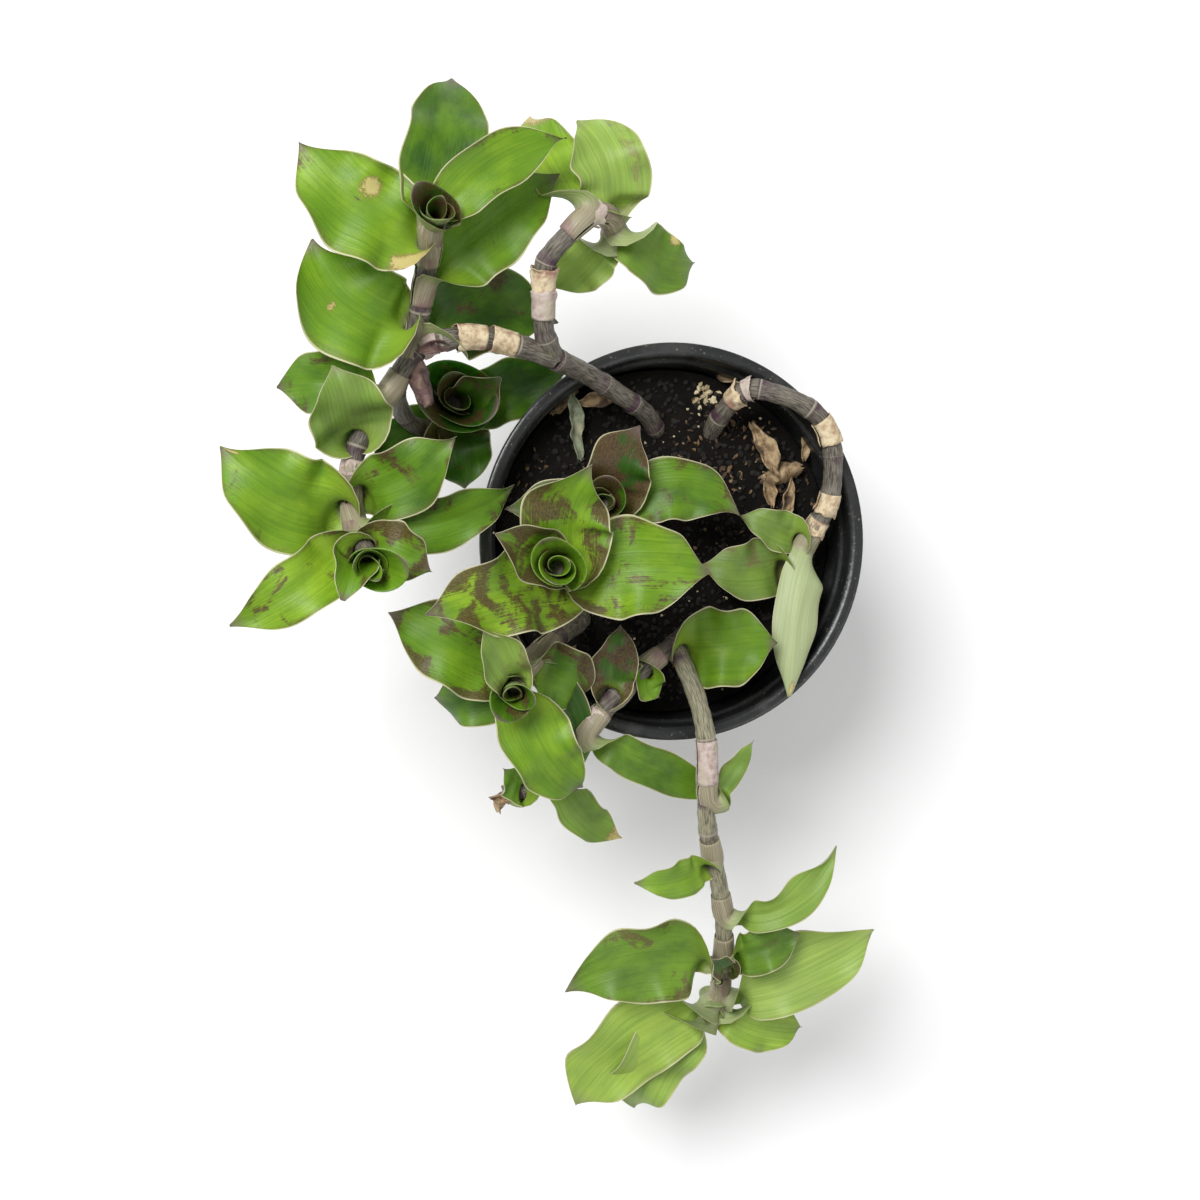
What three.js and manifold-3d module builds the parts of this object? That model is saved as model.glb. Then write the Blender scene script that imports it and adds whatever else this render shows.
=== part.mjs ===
// Potted callisia: a trailing plant with fleshy leaves, growing in a round nursery pot.
// Millimetres, +Z up. The origin is the middle of the pot's flat base, on the surface it stands on.
import * as THREE from 'three';
import { ParametricGeometry } from 'three/addons/geometries/ParametricGeometry.js';
import { mergeVertices } from 'three/addons/utils/BufferGeometryUtils.js';
import Module from 'manifold-3d';

const wasm = await Module();
wasm.setup();

// ---- driving dimensions ----

const gap = 0.3; // left between neighbouring pieces
const leafGap = 0.5; // a little more between leaves, whose faces curve
const cutWelds = [0.12, 0.06, 0.03, 0.01]; // corners this near are one after a cut, widest first
const pot = {
  rimRadius: 60,
  height: 104,
  baseRadius: 43,
  wall: 1.2,
  lipWidth: 4.5,
  lipThickness: 2,
  collarHeight: 12,
  collarStep: 2, // how far the wall steps in below the collar
  ledgeDepth: 6, // the inner step that stops stacked pots from jamming
  holes: 8,
  holeRadius: 4.5,
  holeCircle: 32,
};
const soilDepth = 14; // below the rim
const soilDome = 2; // the middle stands a little higher than the edge
const leafThickness = 1;
const leafProfile = { base: 0.7, widest: 0.4, tipPower: 2.1 }; // shares of the width and the length
const leafBaseCup = 45; // half-angle of the fold at the foot of a leaf, degrees
const bud = { radius: 4.2, length: 20, sunk: 5 }; // the spindle of rolled young leaves on a stem's end

// Stems: each branch is a smooth line through points, with its radius at the start and at the end.
// The first point of a soil-borne stem is its root end, under the surface of the soil.
const stems = {
  left_stem: [
    { name: 'trunk', radii: [2.8, 3.1], bud: false,
      points: [[4, 31, 76], [-2, 34, 88], [-8, 39, 97], [-18, 44, 105], [-29, 49, 112], [-41, 53, 121]] },
    { name: 'upper', radii: [2.9, 2.6], bud: false,
      points: [[-41, 53, 121], [-45, 60, 126], [-46, 68, 130], [-46, 78, 133], [-42, 84, 137],
        [-36, 90, 138], [-30, 92, 135], [-26, 90, 129], [-24, 87, 122]] },
    { name: 'outer', radii: [3.1, 2.8], bud: true,
      points: [[-41, 53, 121], [-52, 56, 124], [-63, 58, 126], [-73, 57, 127], [-80, 55, 125],
        [-84, 50, 124], [-88, 43, 122], [-93, 36, 121], [-97, 28, 120], [-99, 19, 120],
        [-99, 11, 121], [-98, 3, 127], [-96, -3, 136]] },
    { name: 'rear', radii: [2.8, 2.7], bud: true,
      points: [[-83, 52, 124], [-81, 60, 126], [-80, 69, 130], [-79, 79, 137], [-80, 86, 146]] },
    { name: 'hook', radii: [2.7, 2.6], bud: true,
      points: [[-83, 51, 124], [-85, 45, 112], [-82, 39, 97], [-76, 35, 84], [-68, 35, 78],
        [-65, 39, 82], [-65, 42, 90]] },
  ],
  centre_stem: [
    { name: 'centre', radii: [3, 3], bud: true,
      points: [[-12, -17, 76], [-20, -15, 98], [-34, -11, 126], [-45, -7, 147]] },
  ],
  back_stem: [
    { name: 'back', radii: [2.7, 2.7], bud: true,
      points: [[-7, 2, 76], [-12, 5, 90], [-18, 9, 102], [-24, 12, 113]] },
  ],
  front_left_stem: [
    { name: 'front_left', radii: [2.8, 2.8], bud: true,
      points: [[-22, -22, 76], [-28, -24, 95], [-37, -27, 110], [-46, -32, 119], [-52, -37, 125],
        [-55, -41, 131]] },
  ],
  front_stem: [
    { name: 'front', radii: [2.8, 3.1], bud: false,
      points: [[16, -22, 76], [8, -26, 94], [-1, -31, 104], [-12, -38, 108], [-21, -46, 111],
        [-28, -53, 112], [-33, -60, 109], [-37, -67, 104], [-42, -72, 99], [-52, -76, 97]] },
    { name: 'trailing', radii: [2.8, 2.6], bud: true,
      points: [[-1, -31, 104], [2, -39, 109], [5, -49, 112], [7, -59, 112], [8, -71, 110],
        [9, -83, 106], [12, -94, 101], [16, -106, 96], [19, -118, 91], [21, -130, 85],
        [22, -142, 79], [22, -152, 73]] },
  ],
  right_stem: [
    { name: 'right', radii: [2.8, 2.9], bud: false,
      points: [[15, 27, 76], [15, 36, 94], [18, 43, 103], [22, 46, 107], [28, 45, 109],
        [36, 42, 111], [43, 37, 111], [47, 29, 110], [48, 19, 108], [47, 11, 106],
        [44, 4, 103], [41, -2, 101], [38, -7, 98]] },
  ],
};

// Leaves, by rosette. Each leaf starts at a station on its branch, counted in that branch's points,
// and ends at its tip. arch lifts the middle of its midrib and bend carries it to the right, as seen
// from its foot; roll turns the blade over; cup is the half-angle that its two sides fold up by.
const rosettes = {
  upper_left: { branch: 'rear', leaves: [
    { at: 3.8, tip: [-70, 131, 120], width: 24, arch: 7 },
    { at: 3.3, tip: [-114, 107, 140], width: 27, arch: 5, bend: -5 },
    { at: 3.9, tip: [-42, 111, 140], width: 16, arch: 5, bend: -4, cup: 30 },
    { at: 2.3, tip: [-42, 103, 133], width: 24, arch: 2, bend: -2 },
    { at: 0.9, tip: [-110, 83, 132], width: 30, arch: 3, bend: -8 },
    { at: 0.6, tip: [-38, 64, 112], width: 27, arch: -1, bend: -6 },
  ] },
  rear: { branch: 'upper', leaves: [
    { at: 6.6, tip: [-36, 119, 128], width: 23, arch: 8, bend: 3, cup: 25 },
    { at: 5, tip: [-45, 124, 106], width: 20, arch: 4, bend: -4 },
    { at: 7, tip: [3, 83, 110], width: 18, arch: 4, bend: 6 },
    { at: 7.4, tip: [-39, 74, 112], width: 17, arch: 2 },
  ] },
  outer: { branch: 'outer', leaves: [
    { at: 6.1, tip: [-119, 44, 112], width: 20, arch: 5, bend: 2 },
    { at: 7.6, tip: [-105, 49, 133], width: 24, arch: 6, cup: 30 },
    { at: 9.8, tip: [-135, 27, 128], width: 28, arch: 6, bend: -5 },
    { at: 9.2, tip: [-72, 30, 138], width: 20, arch: 4, bend: 3 },
    { at: 10.6, tip: [-52, 17, 118], width: 16, arch: 6, bend: 5 },
    { at: 11, tip: [-133, -22, 128], width: 18, arch: 6, bend: -2 },
    { at: 11.7, tip: [-104, -14, 148], width: 15, arch: 3, cup: 50 },
    { at: 11.4, tip: [-79, -7, 138], width: 18, arch: 5, cup: 35 },
  ] },
  nest: { branch: 'hook', leaves: [
    { at: 5.2, tip: [-31, 52, 93], width: 19, arch: 6 },
    { at: 4.6, tip: [-61, 16, 84], width: 21, arch: 4 },
    { at: 4.4, tip: [-89, 26, 90], width: 18, arch: -5, cup: 35 },
    { at: 5.7, tip: [-54, 48, 106], width: 17, arch: 3, cup: 45 },
  ] },
  centre: { branch: 'centre', leaves: [
    { at: 2.6, tip: [-39, 22, 160], width: 27, arch: 3, bend: -7 },
    { at: 2.1, tip: [-82, -18, 150], width: 25, arch: 4, bend: 3 },
    { at: 2.4, tip: [-3, -8, 148], width: 28, arch: 7, bend: -3 },
    { at: 2.85, tip: [-67, 4, 166], width: 17, arch: 3, cup: 45 },
  ] },
  back: { branch: 'back', leaves: [
    { at: 2.4, tip: [-16, 34, 122], width: 22, arch: 5, bend: -5 },
    { at: 2.1, tip: [17, 8, 112], width: 19, arch: 7, bend: -8 },
    { at: 2.7, tip: [-55, 10, 118], width: 18, arch: 7 },
  ] },
  front_left: { branch: 'front_left', leaves: [
    { at: 4, tip: [-89, -19, 122], width: 25, arch: 6 },
    { at: 4.7, tip: [-66, -22, 146], width: 15, arch: 3, cup: 45 },
    { at: 3.4, tip: [-34, -47, 112], width: 20, arch: 4, bend: -5 },
    { at: 4.4, tip: [-31, -72, 114], width: 21, arch: 8, bend: 6 },
    { at: 3.5, tip: [-74, -45, 106], width: 19, arch: 6, bend: -3 },
    { at: 2.8, tip: [-30, -69, 104], width: 13, arch: 4, bend: -3 },
  ] },
  broken_end: { branch: 'front', leaves: [
    { at: 8.4, tip: [-54, -66, 108], width: 12, arch: 3 },
    { at: 7.2, tip: [-14, -91, 92], width: 13, arch: 3, bend: 4 },
    { at: 5.2, tip: [18, -79, 97], width: 13, arch: 4 },
    { at: 3.9, tip: [-20, -24, 114], width: 14, arch: 4 },
  ] },
  right: { branch: 'right', leaves: [
    { at: 10.9, tip: [35, -47, 106], width: 16, arch: 6, bend: 3, roll: 180, cup: 35 },
    { at: 10.4, tip: [20, 8, 104], width: 13, arch: 3 },
    { at: 11.8, tip: [9, -7, 99], width: 19, arch: 4, bend: -2 },
  ] },
  trailing: { branch: 'trailing', leaves: [
    { at: 0.2, tip: [28, -30, 116], width: 25, arch: 5, bend: -1 },
    { at: 4.4, tip: [23, -60, 108], width: 7, arch: 1 },
    { at: 6.2, tip: [-14, -102, 108], width: 12, arch: 3, bend: -2 },
    { at: 7.8, tip: [53, -95, 100], width: 13, arch: 4, bend: 7, cup: 35 },
    { at: 9.2, tip: [-28, -143, 74], width: 26, arch: 5, bend: 8 },
    { at: 10.4, tip: [-20, -186, 54], width: 26, arch: 6, bend: 9 },
    { at: 11, tip: [1, -190, 50], width: 24, arch: 6, bend: 7 },
    { at: 10.2, tip: [72, -126, 84], width: 21, arch: 6, bend: 2 },
    { at: 10.8, tip: [54, -162, 64], width: 15, arch: 4, bend: 2 },
    { at: 9, tip: [44, -124, 92], width: 11, arch: 3 },
  ] },
};

// ---- materials ----

const matte = (color, roughness) => new THREE.MeshStandardMaterial({ color, roughness, metalness: 0 });
const potBlack = matte(0x1b1c1d, 0.45);
const soilDark = matte(0x241d17, 0.95);
const stemGrey = matte(0x6f6a58, 0.6);
const leafTones = [matte(0x6f8f3a, 0.5), matte(0x5c7d3c, 0.5), matte(0x84993f, 0.5)];

// ---- solids ----

// A closed three.js geometry as a solid: corners nearer than the reach are one, and empty faces go.
function toSolid(geometry, reach = 1e-4) {
  const bare = geometry.clone();
  bare.deleteAttribute('normal');
  bare.deleteAttribute('uv');
  const merged = mergeVertices(bare, reach);
  const faces = [];
  const index = merged.index.array;
  for (let i = 0; i < index.length; i += 3) {
    const [a, b, c] = index.slice(i, i + 3);
    if (a !== b && b !== c && c !== a) faces.push(a, b, c);
  }
  const vertProperties = new Float32Array(merged.attributes.position.array);
  const triVerts = new Uint32Array(faces);
  const solid = new wasm.Manifold(new wasm.Mesh({ numProp: 3, vertProperties, triVerts }));
  if (solid.volume() > 0) return solid;
  for (let i = 0; i < triVerts.length; i += 3) triVerts.subarray(i, i + 2).reverse();
  return new wasm.Manifold(new wasm.Mesh({ numProp: 3, vertProperties, triVerts }));
}

function toGeometry(solid) {
  const { vertProperties, triVerts } = solid.getMesh();
  const geometry = new THREE.BufferGeometry();
  geometry.setAttribute('position', new THREE.BufferAttribute(vertProperties, 3));
  geometry.setIndex(new THREE.BufferAttribute(triVerts, 1));
  return geometry;
}

function toMesh(name, solid, material) {
  const geometry = toGeometry(solid);
  geometry.computeVertexNormals();
  const mesh = new THREE.Mesh(geometry, material);
  mesh.name = name;
  return mesh;
}

// The skin over a row of rings, each a closed loop of the same number of points.
function skin(rings) {
  const around = rings[0].length;
  const last = rings.length - 1;
  const place = (u, v, target) => target.copy(rings[Math.round(v * last)][Math.round(u * around) % around]);
  return toSolid(new ParametricGeometry(place, around, last));
}

// A profile of [radius, height] points turned about the Z axis.
function turned(profile, segments = 48) {
  const geometry = new THREE.LatheGeometry(profile.map(([r, z]) => new THREE.Vector2(r, z)), segments);
  return toSolid(geometry.rotateX(Math.PI / 2));
}

function boxesMeet(a, b) {
  const [p, q] = [a.boundingBox(), b.boundingBox()];
  return [0, 1, 2].every((i) => p.min[i] < q.max[i] && q.min[i] < p.max[i]);
}

// What is left of a solid beside its neighbours: the largest piece.
function clearOf(solid, neighbours) {
  let left = solid;
  for (const other of neighbours) {
    if (boxesMeet(left, other)) left = left.subtract(other);
  }
  const largest = (whole) => whole.decompose().reduce((a, b) => (a.volume() > b.volume() ? a : b));
  left = largest(left);
  for (const reach of cutWelds) {
    try {
      return largest(toSolid(toGeometry(left), reach));
    } catch {
      continue; // corners that near would pinch the solid shut
    }
  }
  return left;
}

// ---- pot and soil ----

const collarFoot = pot.height - pot.collarHeight;
const taper = (z) => pot.baseRadius
  + (pot.rimRadius - pot.lipWidth + pot.wall - pot.collarStep - pot.baseRadius) * (z / collarFoot);

function potSolid(grow = 0) {
  const neck = pot.rimRadius - pot.lipWidth + pot.wall + grow;
  const inner = neck - pot.wall - 2 * grow;
  const top = pot.height + grow;
  const under = taper(collarFoot) - pot.wall - grow;
  return turned([
    [0, 0],
    [pot.baseRadius - 1.5, 0],
    [pot.baseRadius + grow, 1.5],
    [taper(collarFoot - 2) + grow, collarFoot - 2],
    [neck, collarFoot],
    [neck, top - pot.lipThickness - 2 * grow],
    [pot.rimRadius - 0.8, top - pot.lipThickness - 2 * grow],
    [pot.rimRadius + grow, top - pot.lipThickness / 2],
    [pot.rimRadius - 0.8, top],
    [inner + 0.8, top],
    [inner, top - 1],
    [inner, pot.height - pot.ledgeDepth],
    [inner - 1.2, pot.height - pot.ledgeDepth - 1.2],
    [under, collarFoot - 3],
    [taper(pot.wall) - pot.wall - grow, pot.wall + grow],
    [0, pot.wall + grow],
  ]);
}

function drainHoles() {
  const holes = [];
  for (let i = 0; i < pot.holes; i += 1) {
    const angle = (i / pot.holes) * 2 * Math.PI;
    const geometry = new THREE.CylinderGeometry(pot.holeRadius, pot.holeRadius, 4 * pot.wall, 16);
    geometry.rotateX(Math.PI / 2);
    geometry.translate(pot.holeCircle * Math.cos(angle), pot.holeCircle * Math.sin(angle), 0);
    holes.push(toSolid(geometry));
  }
  return holes;
}

function soilSolid() {
  const surface = pot.height - soilDepth;
  const floor = pot.wall + gap;
  const edge = (z) => taper(z) - pot.wall - 2 * gap;
  return turned([
    [0, floor],
    [edge(floor) - 1, floor],
    [edge(collarFoot - 4), collarFoot - 4],
    [edge(collarFoot - 4) - 2, surface],
    [pot.baseRadius - 8, surface + soilDome * 0.6],
    [pot.baseRadius / 2, surface + soilDome],
    [0, surface + soilDome],
  ]);
}

// ---- stems ----

const branchLine = {};
const branchRadii = {};
for (const branches of Object.values(stems)) {
  for (const { name, points, radii } of branches) {
    branchLine[name] = new THREE.CatmullRomCurve3(
      points.map((p) => new THREE.Vector3(...p)), false, 'catmullrom', 0.5);
    branchRadii[name] = radii;
  }
}

// A round rod along a line, its radius given by its share of the way along.
function rod(line, radiusAt, steps, sides = 8) {
  const across = new THREE.Vector3(1, 0, 0);
  const rings = [];
  for (let i = 0; i <= steps; i += 1) {
    const t = i / steps;
    const centre = line.getPoint(t);
    const along = line.getTangent(t);
    across.addScaledVector(along, -across.dot(along)).normalize();
    const other = along.clone().cross(across);
    const ring = [];
    for (let k = 0; k < sides; k += 1) {
      const angle = (k / sides) * 2 * Math.PI;
      ring.push(centre.clone()
        .addScaledVector(across, radiusAt(t) * Math.cos(angle))
        .addScaledVector(other, radiusAt(t) * Math.sin(angle)));
    }
    if (i === 0) rings.push(ring.map(() => centre.clone()));
    rings.push(ring);
    if (i === steps) rings.push(ring.map(() => centre.clone()));
  }
  return skin(rings);
}

function budSolid(line, grow) {
  const end = line.getPoint(1);
  const along = line.getTangent(1);
  const spindle = new THREE.LineCurve3(
    end.clone().addScaledVector(along, -bud.sunk),
    end.clone().addScaledVector(along, bud.length - bud.sunk + grow));
  return rod(spindle, (t) => 0.4 + grow + bud.radius * Math.sin(Math.PI * t ** 0.8), 6);
}

function stemSolid(branches, grow = 0) {
  const rods = branches.flatMap(({ name, points, radii, bud: budded }) => {
    const radiusAt = (t) => radii[0] + (radii[1] - radii[0]) * t + grow;
    const stalk = rod(branchLine[name], radiusAt, 2 * (points.length - 1));
    return budded ? [stalk, budSolid(branchLine[name], grow)] : [stalk];
  });
  return rods.reduce((a, b) => a.add(b));
}

// ---- leaves ----

function widthShare(s) {
  const { base, widest, tipPower } = leafProfile;
  if (s < widest) return base + (1 - base) * Math.sin((Math.PI / 2) * (s / widest));
  return 1 - ((s - widest) / (1 - widest)) ** tipPower;
}

// The midrib: from the stem's surface to the tip, lifted and bent in its middle.
function midrib(branch, { at, tip, arch = 0, bend = 0 }) {
  const line = branchLine[branch];
  const t = at / (line.points.length - 1);
  const centre = line.getPoint(t);
  const end = new THREE.Vector3(...tip);
  const along = line.getTangent(t);
  const out = end.clone().sub(centre);
  out.addScaledVector(along, -out.dot(along)).normalize();
  const start = centre.addScaledVector(out, Math.max(...branchRadii[branch]) + 2 * gap);
  const chord = end.clone().sub(start).normalize();
  const side = chord.clone().cross(new THREE.Vector3(0, 0, 1)).normalize();
  const up = side.clone().cross(chord);
  const middle = start.clone().lerp(end, 0.45).addScaledVector(up, 2 * arch).addScaledVector(side, 2 * bend);
  return { line: new THREE.QuadraticBezierCurve3(start, middle, end), side };
}

// A blade is thickest at its midrib and thin at its margins. Its section is an arc.
function leafSolid(branch, leaf, grow = 0) {
  const { line, side } = midrib(branch, leaf);
  const roll = THREE.MathUtils.degToRad(leaf.roll ?? 0);
  const cup = leaf.cup ?? 20;
  const steps = 8;
  const stations = [-1, -0.5, 0, 0.5, 1, 0.5, 0, -0.5];
  const section = (s, shift, flat) => {
    const along = line.getTangent(s);
    const centre = line.getPoint(s).addScaledVector(along, shift);
    const across = side.clone().addScaledVector(along, -side.dot(along)).normalize();
    across.applyAxisAngle(along, roll);
    const up = across.clone().cross(along);
    const fold = THREE.MathUtils.degToRad(THREE.MathUtils.lerp(leafBaseCup, cup, Math.min(1, 3 * s)));
    const half = (leaf.width / 2) * widthShare(s);
    const radius = Math.max(half, 2) / fold;
    const depth = flat ? 0 : (leafThickness / 2) * Math.min(1, 6 * s, 4 * (1 - s)) + grow;
    return stations.map((v, k) => {
      const angle = (v * (half + 3 * grow)) / radius;
      const lift = radius * (1 - Math.cos(angle));
      const reach = radius * Math.sin(angle);
      const off = (k < 4 ? depth : -depth) * (1 - v * v);
      return centre.clone()
        .addScaledVector(across, reach - off * Math.sin(angle))
        .addScaledVector(up, lift + off * Math.cos(angle));
    });
  };
  const rings = [section(0, -2 * grow, true)];
  for (let i = 0; i <= steps; i += 1) rings.push(section(i / steps, 0, false));
  rings.push(section(1, 2 * grow, true));
  return skin(rings);
}

// ---- the plant ----

const plant = new THREE.Group();
const placed = [potSolid(gap)];

plant.add(toMesh('pot', drainHoles().reduce((a, b) => a.subtract(b), potSolid()), potBlack));

for (const [name, branches] of Object.entries(stems)) {
  plant.add(toMesh(name, stemSolid(branches), stemGrey));
  placed.push(stemSolid(branches, gap));
}
plant.add(toMesh('soil', clearOf(soilSolid(), placed.slice(1)), soilDark));
placed.push(turned([
  [0, 0],
  [pot.rimRadius - pot.lipWidth, 0],
  [pot.rimRadius - pot.lipWidth, pot.height - soilDepth + gap],
  [pot.baseRadius / 2, pot.height - soilDepth + soilDome + gap],
  [0, pot.height - soilDepth + soilDome + gap],
]));

for (const [rosette, { branch, leaves }] of Object.entries(rosettes)) {
  leaves.forEach((leaf, i) => {
    const blade = clearOf(leafSolid(branch, leaf), placed);
    plant.add(toMesh(`${rosette}_leaf_${i + 1}`, blade, leafTones[i % leafTones.length]));
    placed.push(leafSolid(branch, leaf, leafGap));
  });
}

export default plant;
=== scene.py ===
# A callisia with fleshy leaves, growing in a round black nursery pot and trailing over its rim.
import math
import random

import bmesh
import bpy
import numpy as np
from mathutils import Matrix, Vector, noise


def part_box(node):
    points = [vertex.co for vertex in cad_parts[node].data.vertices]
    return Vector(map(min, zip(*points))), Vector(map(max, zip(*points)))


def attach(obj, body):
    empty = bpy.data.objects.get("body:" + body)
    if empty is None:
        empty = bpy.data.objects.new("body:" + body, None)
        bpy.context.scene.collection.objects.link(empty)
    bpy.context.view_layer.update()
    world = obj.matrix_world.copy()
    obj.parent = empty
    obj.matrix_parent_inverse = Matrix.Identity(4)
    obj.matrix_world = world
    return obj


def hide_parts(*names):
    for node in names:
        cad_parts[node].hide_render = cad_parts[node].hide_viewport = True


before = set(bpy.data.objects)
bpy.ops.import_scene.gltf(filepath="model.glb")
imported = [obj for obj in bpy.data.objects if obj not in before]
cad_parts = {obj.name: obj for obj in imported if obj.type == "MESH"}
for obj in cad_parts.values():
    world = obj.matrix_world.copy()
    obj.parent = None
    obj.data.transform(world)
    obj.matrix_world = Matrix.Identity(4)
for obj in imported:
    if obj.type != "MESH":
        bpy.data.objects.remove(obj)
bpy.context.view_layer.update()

MM = 0.001

# ---- The table it stands on ----
# A pale matt surface under soft light from a large overhead window, seen from almost straight above.

eye_tilt = math.radians(13.5)  # from straight down
eye_heading = math.radians(-12.2)  # the way the eye looks along the table
eye_distance = 0.547
looked_at = Vector((-0.0237, -0.0171, 0.104))

bpy.ops.mesh.primitive_plane_add(size=6)
table_top = bpy.context.object
table_top.name = "table_top"

looking = Vector((
    math.sin(eye_tilt) * math.cos(eye_heading),
    math.sin(eye_tilt) * math.sin(eye_heading),
    -math.cos(eye_tilt),
))
up = (Vector((0, 1, 0)) - looking * looking.y).normalized()
right = looking.cross(up)
camera = bpy.data.objects.new("camera", bpy.data.cameras.new("camera"))
camera.data.lens = 55
camera.data.sensor_width = 36
camera.data.clip_start = 0.01
turn = Matrix((right, up, -looking)).transposed().to_4x4()
camera.matrix_world = Matrix.Translation(looked_at - looking * eye_distance) @ turn
bpy.context.collection.objects.link(camera)
bpy.context.scene.camera = camera


def soft_light(name, place, size, power):
    """A round area light that faces the plant."""
    lamp = bpy.data.lights.new(name, "AREA")
    lamp.shape = "DISK"
    lamp.size = size
    lamp.energy = power
    made = bpy.data.objects.new(name, lamp)
    made.location = place
    made.rotation_euler = (Vector((0, 0, 0.1)) - Vector(place)).to_track_quat("-Z", "Y").to_euler()
    bpy.context.collection.objects.link(made)


soft_light("window_light", (-0.75, 0.55, 1.25), 0.7, 25)
soft_light("bounce_light", (0.9, -0.7, 1.1), 1.2, 5)

sky = bpy.data.worlds.new("soft_room")
bpy.context.scene.world = sky
sky.use_nodes = True
sky.node_tree.nodes["Background"].inputs["Color"].default_value = (1, 1, 1, 1)
sky.node_tree.nodes["Background"].inputs["Strength"].default_value = 0.5
bpy.context.scene.view_settings.view_transform = "Standard"


def add(tree, kind, values=None, **settings):
    """One node, with its settings, and with the value or the link of each input that is named."""
    made = tree.nodes.new(kind)
    for name, value in settings.items():
        setattr(made, name, value)
    for key, value in (values or {}).items():
        if isinstance(value, bpy.types.NodeSocket):
            tree.links.new(value, made.inputs[key])
        else:
            made.inputs[key].default_value = value
    return made


def mixed(tree, share, first, second):
    """Two colours mixed by a share from 0 to 1."""
    return add(tree, "ShaderNodeMix", {0: share, 6: first, 7: second}, data_type="RGBA").outputs[2]


def sums(tree, operation, *values, clamp=False):
    """One step of arithmetic."""
    made = add(tree, "ShaderNodeMath", dict(enumerate(values)), operation=operation, use_clamp=clamp)
    return made.outputs[0]


def between(tree, value, low, high, out_low=0.0, out_high=1.0):
    """A value's place between two levels, smoothly, from out_low to out_high."""
    made = add(
        tree, "ShaderNodeMapRange",
        {"Value": value, "From Min": low, "From Max": high, "To Min": out_low, "To Max": out_high},
        interpolation_type="SMOOTHSTEP",
    )
    return made.outputs[0]


def grain(tree, place, scale, detail=4.0, rough=0.55, distort=0.0):
    """Noise around 0.5 at a place."""
    made = add(
        tree, "ShaderNodeTexNoise",
        {"Vector": place, "Scale": scale, "Detail": detail, "Roughness": rough, "Distortion": distort},
    )
    return made.outputs["Fac"]


def stretched(tree, place, scale):
    """A place scaled along its three axes, so that a pattern on it is drawn out."""
    return add(tree, "ShaderNodeMapping", {"Vector": place, "Scale": scale}).outputs[0]


def new_finish(name, roughness):
    """A new material, its tree and its shader."""
    made = bpy.data.materials.new(name)
    made.use_nodes = True
    shader = made.node_tree.nodes["Principled BSDF"]
    shader.inputs["Roughness"].default_value = roughness
    return made, made.node_tree, shader


def roughened(tree, shader, height, strength, distance):
    """Relief on a shader."""
    bump = add(tree, "ShaderNodeBump", {"Height": height, "Strength": strength, "Distance": distance})
    tree.links.new(bump.outputs[0], shader.inputs["Normal"])


table_finish, tree, shader = new_finish("pale_table", 0.7)
spot = add(tree, "ShaderNodeTexCoord").outputs["Object"]
table_tone = mixed(tree, grain(tree, spot, 3.0), (0.86, 0.86, 0.86, 1), (0.9, 0.9, 0.9, 1))
tree.links.new(table_tone, shader.inputs["Base Color"])
table_top.data.materials.append(table_finish)

# ---- The pot ----
# A thin black plastic nursery pot, moulded in one piece: a rolled rim, a deep collar, a wall that
# narrows to the base, a stacking ledge inside and drain holes round the base. It is dusty with use.

_, pot_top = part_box("pot")
pot_height = pot_top[2]
rim_radius = pot_top[0]
pot_base_radius = 43 * MM
pot_wall = 1.2 * MM
collar_height = 12 * MM
lip_width = 4.5 * MM


def turned(name, profile, steps=144):
    """A profile of (radius, height) points turned about the upright axis into a smooth closed mesh."""
    mesh = bmesh.new()
    rings = []
    for radius, height in profile:
        if radius == 0:
            rings.append([mesh.verts.new((0, 0, height))])
            continue
        rings.append([
            mesh.verts.new((radius * math.cos(a), radius * math.sin(a), height))
            for a in (2 * math.pi * i / steps for i in range(steps))
        ])
    for low, high in zip(rings, rings[1:]):
        for i in range(steps):
            j = (i + 1) % steps
            corners = [low[i % len(low)], low[j % len(low)], high[j % len(high)], high[i % len(high)]]
            corners = list(dict.fromkeys(corners))
            if len(corners) > 2:
                mesh.faces.new(corners)
    bmesh.ops.recalc_face_normals(mesh, faces=mesh.faces)
    data = bpy.data.meshes.new(name)
    mesh.to_mesh(data)
    mesh.free()
    data.shade_smooth()
    made = bpy.data.objects.new(name, data)
    bpy.context.collection.objects.link(made)
    return made


def rounded(points, corner=0.0006, steps=3):
    """An outline with each inner corner rounded by a short arc."""
    out = [points[0]]
    for before, here, after in zip(points, points[1:], points[2:]):
        here = Vector(here)
        back = Vector(before) - here
        on = Vector(after) - here
        reach = min(corner, back.length / 2.2, on.length / 2.2)
        start = here + back.normalized() * reach
        end = here + on.normalized() * reach
        for i in range(steps + 1):
            t = i / steps
            out.append(tuple(start * (1 - t) ** 2 + here * 2 * t * (1 - t) + end * t ** 2))
    return out + [points[-1]]


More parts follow.
